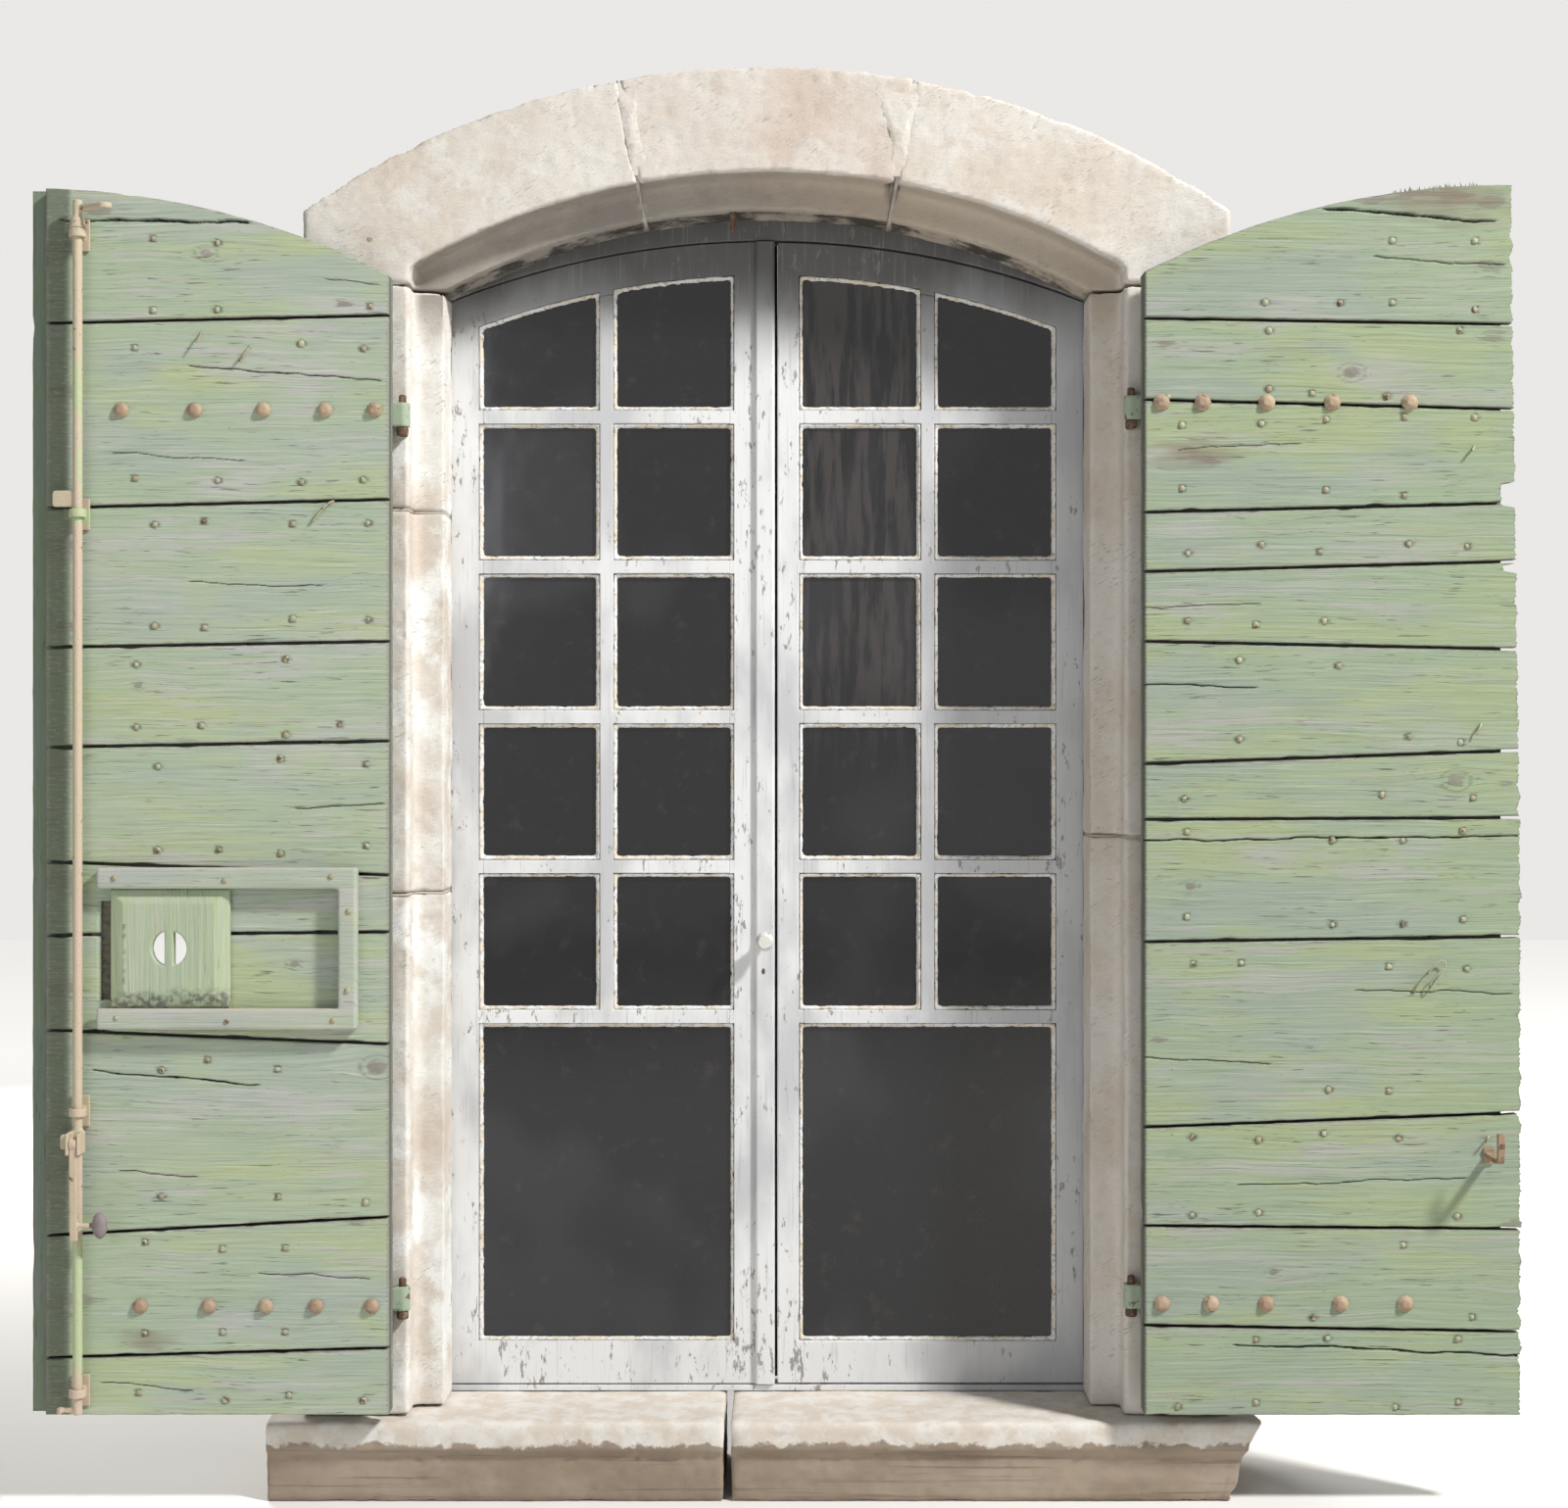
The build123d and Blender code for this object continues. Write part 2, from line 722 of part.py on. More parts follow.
# Sliding panel: a thin margin in the grooves, a raised field, two half-moon sight holes
panel_centre = place_on_leaf(-1, panel_far - panel_length / 2, hatch_mid)
panel_plane = left_face.offset(panel_running_gap)
with BuildPart() as hatch_panel:
    with BuildSketch(panel_plane):
        with Locations(panel_centre):
            Rectangle(panel_length, panel_height + 2 * (groove_height - seat_gap))
    extrude(amount=panel_margin_thickness)
    with BuildSketch(panel_plane.offset(panel_margin_thickness)):
        with Locations(panel_centre):
            Rectangle(
                panel_length - panel_field_clearance, panel_height - 2 * panel_field_clearance
            )
    extrude(amount=panel_field_thickness)
    crest = hatch_panel.faces().filter_by(Plane.XZ).sort_by(Axis.Y)[0]
    chamfer(crest.edges(), length=panel_field_thickness * 0.75, length2=panel_field_border)
    with BuildSketch(panel_plane):
        with Locations(panel_centre):
            Circle(moon_radius)
            Rectangle(moon_bar, 2 * moon_radius, mode=Mode.SUBTRACT)
    extrude(amount=panel_margin_thickness + panel_field_thickness, mode=Mode.SUBTRACT)
save(hatch_panel.part, "hatch_panel")

# Espagnolette: the rod and what is forged on it
rod_x = -(pintle_x + rod_distance)
rod_y = left_face.origin.Y - rod_standoff
rod_axis = Plane((rod_x, rod_y, leaf_bottom))
with BuildPart() as rod:
    with BuildSketch(rod_axis.offset(rod_low)):
        Circle(rod_radius)
    extrude(amount=rod_high - rod_low)
    with BuildSketch(rod_axis.offset(guide_levels[-1] + guide_height / 2 + seat_gap)):
        Circle(flange_radius)
    extrude(amount=flange_height)
    ball_level = guide_levels[-1] + guide_height / 2 + flange_height + ball_radius / 2
    with Locations((rod_x, rod_y, leaf_bottom + ball_level)):
        Sphere(ball_radius)
    with BuildSketch(rod_axis.offset(top_hook_level)):
        with BuildLine(Plane.XY.rotated((0, 0, top_hook_angle))):
            Line((0, 0), (top_hook_reach, 0))
            TangentArc((top_hook_reach, 0), (top_hook_reach, top_hook_turn), tangent=(1, 0))
        trace(line_width=hook_thickness)
    extrude(amount=hook_height)
    with BuildSketch(rod_axis.offset(bottom_hook_level)):
        with BuildLine():
            Line((0, 0), (-bottom_hook_reach, 0))
            TangentArc(
                (-bottom_hook_reach, 0), (-bottom_hook_reach, -bottom_hook_turn), tangent=(-1, 0)
            )
        trace(line_width=hook_thickness)
    extrude(amount=hook_height)
    for level, height, reach in (
        (upper_lug_level, upper_lug_height, upper_lug_reach),
        (boss_level - lower_lug_height / 2, lower_lug_height, lower_lug_reach),
    ):
        with BuildSketch(Plane.XZ.offset(-rod_y)):
            with Locations((rod_x - reach / 2, leaf_bottom + level + height / 2)):
                RectangleRounded(reach, height, lug_thickness / 2)
        extrude(amount=lug_thickness / 2, both=True)
    with BuildSketch(rod_axis.offset(boss_level - boss_height / 2)):
        Circle(boss_radius)
        with Locations((0, -pivot_reach / 2)):
            Rectangle(fork_width, pivot_reach)
        with Locations((0, -pivot_reach)):
            RectangleRounded(fork_width, 2 * handle_eye_radius, fork_round)
    extrude(amount=boss_height)
    slot_width = handle_width + 2 * handle_slot_clearance
    slot_back = rod_radius + fork_web
    with BuildSketch(rod_axis.offset(boss_level - boss_height / 2)):
        with Locations((0, -slot_back)):
            Rectangle(slot_width, 2 * pivot_reach, align=(Align.CENTER, Align.MAX))
    extrude(amount=boss_height, mode=Mode.SUBTRACT)
    pivot_y = rod_y - pivot_reach
    pivot_z = leaf_bottom + boss_level
    with Locations((rod_x, pivot_y, pivot_z)):
        Cylinder(handle_pin_radius, fork_width, rotation=(0, 90, 0))
save(rod.part, "espagnolette_rod")

# Handle: an eye on the fork's pin, a tapered grip and an oval knob on a short stem
with BuildPart() as handle:
    with BuildSketch(Plane.YZ.offset(rod_x)):
        with Locations((pivot_y, pivot_z)):
            Circle(handle_eye_radius)
        with BuildLine():
            Polyline(
                (pivot_y - handle_eye_radius * 0.7, pivot_z),
                (pivot_y - handle_tip_radius, pivot_z - handle_length),
                (pivot_y + handle_tip_radius, pivot_z - handle_length),
                (pivot_y + handle_eye_radius * 0.7, pivot_z),
                close=True,
            )
        make_face()
        with Locations((pivot_y, pivot_z - handle_length)):
            Circle(handle_tip_radius)
        with Locations((pivot_y, pivot_z)):
            Circle(handle_pin_radius + pin_clearance, mode=Mode.SUBTRACT)
    extrude(amount=handle_width / 2, both=True)
    with BuildSketch(Plane.YZ.offset(rod_x + handle_width / 4)):
        with Locations((pivot_y, pivot_z - knob_drop)):
            Circle(knob_stem_radius)
    extrude(amount=knob_offset - handle_width / 4)
    with BuildSketch(Plane.XZ.offset(-pivot_y)):
        with Locations((rod_x + knob_offset, pivot_z - knob_drop)):
            Ellipse(knob_width / 2, knob_height / 2)
            Rectangle(
                knob_width, 2 * knob_height,
                align=(Align.MAX, Align.CENTER), mode=Mode.SUBTRACT,
            )
    revolve(axis=Axis((rod_x + knob_offset, pivot_y, pivot_z), (0, 0, 1)))
save(handle.part, "espagnolette_handle")

# Guides that hold the rod to the leaf
with BuildPart() as rod_guides:
    for level in guide_levels:
        with BuildSketch(rod_axis.offset(level - guide_height / 2)):
            Circle(guide_radius)
            with Locations((0, rod_standoff / 2)):
                Rectangle(guide_radius, rod_standoff)
        extrude(amount=guide_height)
        with BuildSketch(left_face):
            with Locations((rod_x, leaf_bottom + level)):
                Rectangle(guide_plate_width, guide_plate_height)
        extrude(amount=guide_plate_thickness)
        with BuildSketch(rod_axis.offset(level - guide_height / 2)):
            Circle(rod_radius + rod_clearance)
        extrude(amount=guide_height, mode=Mode.SUBTRACT)
save(rod_guides.part, "rod_guides")

# Catch that holds the lifted handle when the shutters are closed
with BuildPart() as handle_catch:
    catch_x, catch_z = place_on_leaf(1, catch_distance, catch_level)
    catch_y = right_face.origin.Y
    with BuildSketch(right_face):
        with Locations((catch_x, catch_z)):
            RectangleRounded(catch_plate_width, catch_plate_height, catch_plate_width / 4)
    extrude(amount=catch_plate_thickness)
    with BuildSketch(Plane.YZ.offset(catch_x)):
        with BuildLine():
            FilletPolyline(
                (catch_y - catch_plate_thickness / 2, catch_z),
                (catch_y - catch_reach, catch_z),
                (catch_y - catch_reach, catch_z + catch_rise),
                radius=catch_bend_radius,
            )
        trace(line_width=catch_bar_thickness)
    extrude(amount=catch_bar_width / 2, both=True)
save(handle_catch.part, "handle_catch")
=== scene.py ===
import math
import random

import bmesh
import bpy
from mathutils import Matrix, Vector, noise


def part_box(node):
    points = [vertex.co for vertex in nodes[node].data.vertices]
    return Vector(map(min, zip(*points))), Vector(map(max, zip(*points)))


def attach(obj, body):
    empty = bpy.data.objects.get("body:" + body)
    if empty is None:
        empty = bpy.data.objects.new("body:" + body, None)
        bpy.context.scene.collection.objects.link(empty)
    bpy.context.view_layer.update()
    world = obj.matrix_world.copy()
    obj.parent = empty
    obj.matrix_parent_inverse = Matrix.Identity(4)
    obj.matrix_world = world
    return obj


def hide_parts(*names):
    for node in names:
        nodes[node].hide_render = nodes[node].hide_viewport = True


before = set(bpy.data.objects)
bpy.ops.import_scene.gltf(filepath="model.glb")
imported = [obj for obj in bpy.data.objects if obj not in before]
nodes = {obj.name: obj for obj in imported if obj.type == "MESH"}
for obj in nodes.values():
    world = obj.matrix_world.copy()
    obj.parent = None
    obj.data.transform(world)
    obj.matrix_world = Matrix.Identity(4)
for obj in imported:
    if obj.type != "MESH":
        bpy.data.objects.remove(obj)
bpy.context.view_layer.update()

MM = 0.001
scene = bpy.context.scene

# Camera, level with the middle of the photograph and four metres in front of the stone
PHOTO_CENTRE = (800, 770)
CAMERA_AT = Vector((0.0285, -4.0, 1.238))
MM_PER_PIXEL = 1.63
METRES_PER_PIXEL_AWAY = 1.629 * MM / 4.0

camera = bpy.data.objects.new("camera", bpy.data.cameras.new("camera"))
camera.location = CAMERA_AT
camera.rotation_euler = (math.pi / 2, 0, 0)
camera.data.sensor_width = 36.0
camera.data.lens = 55.2
scene.collection.objects.link(camera)
scene.camera = camera


def seen_at(px, py, y):
    """The point on the plane y, in metres, that shows at a pixel of the photograph."""
    reach = (y - CAMERA_AT.y) * METRES_PER_PIXEL_AWAY
    across = (px - PHOTO_CENTRE[0]) * reach
    up = (PHOTO_CENTRE[1] - py) * reach
    return Vector((CAMERA_AT.x + across, y, CAMERA_AT.z + up))


def studio_lamp(name, at, toward, size, power, colour):
    lamp = bpy.data.lights.new(name, "AREA")
    lamp.shape = "DISK"
    lamp.size = size
    lamp.energy = power
    lamp.color = colour
    stand = bpy.data.objects.new(name, lamp)
    stand.location = at
    stand.rotation_euler = (Vector(toward) - Vector(at)).to_track_quat("-Z", "Y").to_euler()
    scene.collection.objects.link(stand)


studio_lamp("key", (6.5, -4.3, 8.0), (0, 0, 1.1), 1.2, 1420, (1.0, 0.98, 0.95))
studio_lamp("front_fill", (-2.5, -5.0, 2.2), (0, 0, 1.1), 3.0, 46, (0.92, 0.96, 1.0))
studio_lamp("back_fill", (-2.2, 4.0, 3.0), (0, 0, 1.1), 3.0, 210, (1.0, 0.98, 0.95))


# Finishes
class Finish:
    """A material's nodes, with a short call for each kind that a finish is mixed from."""

    def __init__(self, name):
        self.material = bpy.data.materials.new(name)
        self.material.use_nodes = True
        self.tree = self.material.node_tree
        self.shader = self.tree.nodes["Principled BSDF"]

    def feed(self, socket, value):
        if isinstance(value, bpy.types.NodeSocket):
            self.tree.links.new(value, socket)
        elif socket.type == "RGBA":
            socket.default_value = (*value[:3], 1.0)
        else:
            socket.default_value = value

    def add(self, kind, **inputs):
        made = self.tree.nodes.new(kind)
        for key, value in inputs.items():
            self.feed(made.inputs[key], value)
        return made

    def place(self):
        """Where a point lies on the object."""
        return self.add("ShaderNodeTexCoord").outputs["Object"]

    def attribute(self, name, output="Fac"):
        made = self.add("ShaderNodeAttribute")
        made.attribute_name = name
        return made.outputs[output]

    def cloud(self, vector, scale, detail=4.0, rough=0.55, shift=(0, 0, 0)):
        """Noise over a place, drawn out along an axis where the scale has three parts."""
        if isinstance(scale, tuple):
            vector = self.add("ShaderNodeMapping", Vector=vector, Scale=scale,
                              Location=shift).outputs["Vector"]
            scale = 1.0
        return self.add(
            "ShaderNodeTexNoise", Vector=vector, Scale=scale, Detail=detail, Roughness=rough,
        ).outputs["Fac"]

    def step(self, value, low, high):
        """Smooth step from 0 at low to 1 at high, or back where low is the larger."""
        made = self.add("ShaderNodeMapRange", Value=value)
        made.interpolation_type = "SMOOTHSTEP"
        made.inputs["From Min"].default_value = min(low, high)
        made.inputs["From Max"].default_value = max(low, high)
        made.inputs["To Min"].default_value = float(low > high)
        made.inputs["To Max"].default_value = float(low <= high)
        return made.outputs["Result"]

    def sum(self, operation, first, second):
        made = self.tree.nodes.new("ShaderNodeMath")
        made.operation = operation
        self.feed(made.inputs[0], first)
        self.feed(made.inputs[1], second)
        return made.outputs["Value"]

    def times(self, first, second):
        return self.sum("MULTIPLY", first, second)

    def plus(self, first, second):
        return self.sum("ADD", first, second)

    def around(self, value, share):
        """Noise moved to swing round 0, and made smaller by a share."""
        return self.times(self.sum("SUBTRACT", value, 0.5), share)

    def over(self, under, mask, share, colour):
        """The colour laid over what is under it, where the mask says, at most by its share."""
        made = self.tree.nodes.new("ShaderNodeMix")
        made.data_type = "RGBA"
        self.feed(made.inputs[0], self.times(mask, share))
        self.feed(made.inputs[6], under)
        self.feed(made.inputs[7], colour)
        return made.outputs[2]

    def toned(self, under, tone):
        """The whole colour darkened or tinted by a tone."""
        made = self.tree.nodes.new("ShaderNodeMix")
        made.data_type = "RGBA"
        made.blend_type = "MULTIPLY"
        made.inputs[0].default_value = 1.0
        self.feed(made.inputs[6], under)
        self.feed(made.inputs[7], tone)
        return made.outputs[2]

    def axis(self, vector, name):
        return self.add("ShaderNodeSeparateXYZ", Vector=vector).outputs[name]

    def bump(self, height, strength, distance, under=None):
        made = self.add("ShaderNodeBump", Height=height, Strength=strength, Distance=distance)
        if under is not None:
            self.feed(made.inputs["Normal"], under)
        return made.outputs["Normal"]

    def done(self, colour, rough, normal, metallic=0.0):
        self.feed(self.shader.inputs["Base Color"], colour)
        self.feed(self.shader.inputs["Roughness"], rough)
        self.feed(self.shader.inputs["Metallic"], metallic)
        self.feed(self.shader.inputs["Normal"], normal)
        return self.material


# Green paint and weathered wood
SAGE = (0.350, 0.425, 0.310)
LEAF_GREEN = (0.390, 0.450, 0.270)
BLUE_GREEN = (0.340, 0.400, 0.350)
WORN_GREY = (0.440, 0.440, 0.425)
GREY_WOOD = (0.240, 0.225, 0.205)
BROWN_STAIN = (0.20, 0.16, 0.12)
# Painted shadow of the rod on the free end of the left leaf
ROD_SHADOW_PAINT = (0.115, 0.135, 0.095)
# Painted shade in cracks and in the gaps between boards, and the dark rings of knots and nail
# dents
CREVICE = (0.012, 0.014, 0.012)
# Painted shade laid over whole boards
SHADE_GREEN = (0.080, 0.115, 0.085)
YELLOWED_PAINT = (0.46, 0.53, 0.33)
FREE_END_GREEN = (0.33, 0.42, 0.245)
GRAIN_DARK = (0.16, 0.175, 0.14)
GRAIN_LIGHT = (0.60, 0.62, 0.55)
OPEN_CHECK = (0.07, 0.075, 0.06)
SPECKLE = (0.09, 0.10, 0.08)
GREY_SPOT = (0.30, 0.31, 0.29)

# Stone
CREAM_STONE = (0.60, 0.54, 0.47)
WHITE_STONE = (0.68, 0.655, 0.62)
PINK_STONE = (0.57, 0.485, 0.42)
GREY_STONE = (0.32, 0.28, 0.23)
WHITEWASH = (0.78, 0.785, 0.765)
# Painted shade deep under the soffit
DEEP_SOFFIT_SHADE = (0.035, 0.032, 0.030)
STONE_HOLLOW = (0.06, 0.05, 0.043)
SOFFIT_GREY = (0.22, 0.195, 0.17)
SOFFIT_OCHRE = (0.42, 0.345, 0.26)
SOFFIT_BUFF = (0.40, 0.35, 0.29)
# Painted shadow of the sill's nose on the face below it
SILL_SHADOW_BROWN = (0.245, 0.19, 0.14)
SILL_SHADOW_TAN = (0.34, 0.275, 0.215)
SILL_HOLLOW = (0.08, 0.07, 0.055)
TOOL_LINE = (0.15, 0.12, 0.095)

# Window
WINDOW_GREY = (0.36, 0.37, 0.395)
WINDOW_WHITE = (0.72, 0.73, 0.74)
SHADED_RAIL = (0.068, 0.066, 0.064)
PAINT_GRAIN = (0.30, 0.30, 0.31)
BARE_TIMBER = (0.20, 0.18, 0.165)
PUTTY_CREAM = (0.66, 0.60, 0.50)
PUTTY_CRUMB = (0.24, 0.20, 0.155)
DARK_ROOM = (0.012, 0.012, 0.014)
GLASS_HAZE = (0.030, 0.030, 0.034)
GLASS_DUST = (0.06, 0.055, 0.05)
ROOM_BROWN = (0.062, 0.055, 0.052)
FELT_BLACK = (0.016, 0.016, 0.017)
FELT_GREY = (0.040, 0.038, 0.036)

# Iron
RUST = (0.17, 0.085, 0.045)
DARK_RUST = (0.065, 0.045, 0.037)
ROD_GREEN = (0.41, 0.47, 0.28)
CATCH_GREEN = (0.30, 0.38, 0.24)

FLOOR_PALE = (0.80, 0.79, 0.77)
FLOOR_SHADE = (0.76, 0.75, 0.73)


def painted_boards(name, deep=0.0, wood=GREY_WOOD, pale=0.0, yellow_share=0.0,
                   tone=(1, 1, 1), stained=BROWN_STAIN, rod_shadow_from=None):
    """Thin green paint, worn along the grain. It follows the boards' own grain.

    wood is the colour where the paint has gone, pale and yellow_share tint all the paint, deep
    lays painted shade over all of it, and past the point given along the board lies a painted
    shadow of the rod, with grey spots in it.
    """
    f = Finish(name)
    flow = f.attribute("flow", "Vector")
    fine = f.cloud(flow, (6, 430, 1), 6, 0.65)
    broad = f.cloud(flow, (2.2, 95, 1), 5, 0.65)
    checks = f.cloud(flow, (17, 300, 1), 4, 0.55, (4, 1, 0))
    patch = f.cloud(flow, (2.6, 8, 1), 3)
    worn = f.cloud(flow, (3.2, 13, 1), 5, 0.6, (7, 3, 0))
    yellow = f.cloud(flow, (1.9, 9, 1), 3, shift=(-5, 9, 0))
    speck = f.cloud(flow, (60, 270, 1), 3, 0.7)
    ragged = f.around(broad, 0.6)
    colour = f.over(SAGE, f.step(f.plus(yellow, ragged), 0.44, 0.62), 1.0, LEAF_GREEN)
    colour = f.over(colour, f.step(patch, 0.52, 0.38), 0.8, BLUE_GREEN)
    colour = f.over(colour, f.step(f.plus(worn, ragged), 0.50, 0.66), 0.8, WORN_GREY)
    colour = f.over(colour, f.step(broad, 0.60, 0.74), 0.35, GREY_WOOD)
    all_over = f.step(fine, -1, 0)
    colour = f.over(colour, all_over, pale, WORN_GREY)
    colour = f.over(colour, all_over, 0.7 * yellow_share, YELLOWED_PAINT)
    uneven = f.times(f.sum("SUBTRACT", f.plus(speck, fine), 1.0), 0.9)
    bare = f.step(f.plus(f.attribute("bare"), uneven), 0.45, 0.80)
    colour = f.over(colour, bare, 0.9, wood)
    colour = f.over(colour, f.step(fine, 0.54, 0.66), 0.5, GRAIN_DARK)
    colour = f.over(colour, f.step(fine, 0.46, 0.34), 0.45, GRAIN_LIGHT)
    cluster = f.step(f.cloud(flow, (5, 16, 1), 3, shift=(9, 2, 0)), 0.42, 0.60)
    opened = f.times(f.step(checks, 0.60, 0.67), cluster)
    colour = f.over(colour, opened, 0.75, OPEN_CHECK)
    colour = f.over(colour, f.step(speck, 0.68, 0.73), 0.9, SPECKLE)
    far = f.plus(f.axis(flow, "X"), f.times(patch, 0.2))
    colour = f.over(colour, f.step(far, 0.44, 0.66), 0.22, FREE_END_GREEN)
    colour = f.toned(colour, tone)
    # Painted shadow of the rod over the free end of the left leaf's boards, with grey spots in it
    if rod_shadow_from:
        edge = f.step(f.axis(flow, "X"), rod_shadow_from, rod_shadow_from + 0.010)
        rod_shade_colour = f.over(ROD_SHADOW_PAINT, f.step(speck, 0.56, 0.64), 0.5, GREY_SPOT)
        colour = f.over(colour, edge, 0.85, rod_shade_colour)
    colour = f.over(colour, f.attribute("stain"), 1.0, stained)
    # Painted shade over all of the paint, by the share deep
    if deep:
        colour = f.over(colour, all_over, deep, SHADE_GREEN)
    colour = f.over(colour, f.attribute("cavity"), 1.0, CREVICE)
    normal = f.bump(fine, 0.8, 1.1 * MM)
    normal = f.bump(broad, 0.5, 2.2 * MM, normal)
    normal = f.bump(f.step(opened, 1, 0), 0.5, 1.2 * MM, normal)
    normal = f.bump(speck, 0.4, 0.7 * MM, normal)
    return f.done(colour, 0.86, normal)


# Heights, widths and depths in metres between which a finish fades in, or out where the
# first is the larger
ARCH_SPRINGS = (1.90, 2.02)
OCHRE_TO_RIGHT = (-0.25, 0.35)
BEHIND_FACE = (0.002, 0.012)
DEEP_SHADE_STARTS = (0.075, 0.085)
DEEP_SHADE_ENDS = (0.165, 0.155)
NOSE_FOOT = (0.094, 0.100)
# Painted shade on the window towards the right, and on its head rail below
SHADE_TO_RIGHT = (0.15, 0.60)
HEAD_RAIL = (2.00, 2.21)
STREAKS_START = (0.05, 0.07)
STREAKS_END = (0.27, 0.24)
STREAKED_ABOVE = (1.15, 1.45)
COLLAR_FOOT = (1.610, 1.614)
COLLAR_HEAD = (1.640, 1.636)
ROD_FOOT_FROM = (0.20, 0.27)
ROD_FOOT_TO = (0.48, 0.42)
CATCH_FOOT = (0.572, 0.566)


def dressed_stone(name, tone, white, wash_colour=WHITE_STONE):
    """Limestone with pits, tool marks and what is left of its limewash, with painted shade on its
    soffits.
    """
    f = Finish(name)
    place = f.place()
    cloud = f.cloud(place, 3.4, 5, 0.6)
    wash = f.cloud(place, (8, 8, 8), 6, 0.65, (24, 8, 56))
    grit = f.cloud(place, 190, 4, 0.7)
    aslant = f.add("ShaderNodeMapping", Vector=place, Rotation=(0, 0.55, 0)).outputs["Vector"]
    strokes = f.cloud(aslant, (48, 48, 330), 4, 0.6)
    dressing = f.cloud(place, (70, 70, 210), 4, 0.6, (5, 0, 2))
    colour = f.over(tone, f.step(cloud, 0.36, 0.62), 0.7, wash_colour)
    colour = f.over(colour, f.step(wash, 0.48, 0.60), white, wash_colour)
    colour = f.over(colour, f.step(wash, 0.46, 0.34), 0.6, PINK_STONE)
    colour = f.over(colour, f.step(grit, 0.58, 0.72), 0.30, GREY_STONE)
    gathered = f.step(f.cloud(place, 11, 4), 0.46, 0.60)
    marks = f.sum("MAXIMUM", f.step(strokes, 0.585, 0.64), f.step(dressing, 0.63, 0.69))
    colour = f.over(colour, f.times(marks, gathered), 0.65, GREY_STONE)
    across = f.axis(place, "X")
    depth = f.axis(place, "Y")
    under = f.times(f.attribute("under"), f.step(f.axis(place, "Z"), *ARCH_SPRINGS))
    shaded = f.over(SOFFIT_GREY, f.step(across, *OCHRE_TO_RIGHT), 1.0, SOFFIT_OCHRE)
    shaded = f.over(shaded, f.step(wash, 0.40, 0.62), 0.35, SOFFIT_BUFF)
    recess = f.times(f.step(depth, *BEHIND_FACE), under)
    colour = f.over(colour, recess, 0.8, shaded)
    # A mottled band of painted shade on the soffits deep in the reveal, over the window's head
    band = f.times(f.step(depth, *DEEP_SHADE_STARTS), f.step(depth, *DEEP_SHADE_ENDS))
    blotch = f.step(f.cloud(place, (9, 9, 26), 5, 0.7), 0.40, 0.58)
    colour = f.over(colour, f.times(f.times(band, under), blotch), 0.95, DEEP_SOFFIT_SHADE)
    colour = f.over(colour, f.attribute("cavity"), 0.9, STONE_HOLLOW)
    normal = f.bump(grit, 0.5, 1.3 * MM)
    normal = f.bump(strokes, 0.55, 2.2 * MM, normal)
    normal = f.bump(dressing, 0.35, 1.5 * MM, normal)
    return f.done(colour, 0.92, normal)


def sill_finish(name):
    """Tooled stone, pale along its nose and brown below a ragged line: the brown is a painted
    shadow of the nose.
    """
    f = Finish(name)
    place = f.place()
    lines = f.cloud(place, (2.5, 60, 95), 5, 0.6)
    cloud = f.cloud(place, (4, 4, 9), 5, 0.6)
    grit = f.cloud(place, 170, 4, 0.7)
    ragged = f.around(f.cloud(place, 26, 4, 0.65), 0.05)
    # The face under the nose is brown: a painted shadow of the nose
    face = f.over(SILL_SHADOW_BROWN, f.step(cloud, 0.35, 0.65), 1.0, SILL_SHADOW_TAN)
    face = f.over(face, f.step(lines, 0.55, 0.68), 0.6, TOOL_LINE)
    wash = f.over(CREAM_STONE, f.step(f.cloud(place, 22, 5, 0.65), 0.40, 0.62), 1.0, WHITE_STONE)
    # The ragged line where the painted shadow of the nose ends
    edge = f.step(f.plus(f.axis(place, "Z"), ragged), *NOSE_FOOT)
    colour = f.over(face, edge, 1.0, wash)
    colour = f.over(colour, f.step(grit, 0.58, 0.72), 0.3, GREY_STONE)
    colour = f.over(colour, f.attribute("cavity"), 0.8, SILL_HOLLOW)
    normal = f.bump(grit, 0.4, 1.2 * MM)
    normal = f.bump(lines, 0.25, 1.2 * MM, normal)
    return f.done(colour, 0.92, normal)


def window_paint(name):
    """Old white paint that flakes off grey timber, with painted shade on its head rail and towards
    the right.
    """
    f = Finish(name)
    place = f.place()
    grain = f.cloud(place, (240, 240, 7), 4, 0.6)
    cloud = f.cloud(place, (5, 5, 2.2), 4, 0.6)
    crack = f.cloud(place, (90, 90, 30), 5, 0.7)
    colour = f.over(WINDOW_WHITE, f.step(cloud, 0.56, 0.36), 0.6, WINDOW_GREY)
    uneven = f.times(cloud, 0.25)
    across = f.plus(f.axis(place, "X"), uneven)
    height = f.plus(f.axis(place, "Z"), uneven)
    # Painted shade towards the right, and on the head rail under the arch
    colour = f.over(colour, f.step(across, *SHADE_TO_RIGHT), 0.55, WINDOW_GREY)
    colour = f.over(colour, f.step(height, *HEAD_RAIL), 0.95, SHADED_RAIL)
    colour = f.over(colour, f.step(grain, 0.56, 0.70), 0.35, PAINT_GRAIN)
    flakes = f.step(f.plus(crack, f.times(cloud, 0.35)), 0.79, 0.83)
    colour = f.over(colour, flakes, 0.8, BARE_TIMBER)
    normal = f.bump(grain, 0.25, 0.6 * MM)
    normal = f.bump(f.step(flakes, 1, 0), 0.3, 0.5 * MM, normal)
    return f.done(colour, 0.62, normal)


def old_putty(name):
    """Cream putty, crumbling and partly painted over."""
    f = Finish(name)
    place = f.place()
    crumbs = f.cloud(place, 150, 5, 0.7)
    colour = f.over(PUTTY_CREAM, f.step(f.cloud(place, 24), 0.38, 0.62), 1.0, WINDOW_WHITE)
    colour = f.over(colour, f.step(crumbs, 0.52, 0.62), 0.7, PUTTY_CRUMB)
    return f.done(colour, 0.9, f.bump(crumbs, 0.7, 1.5 * MM))


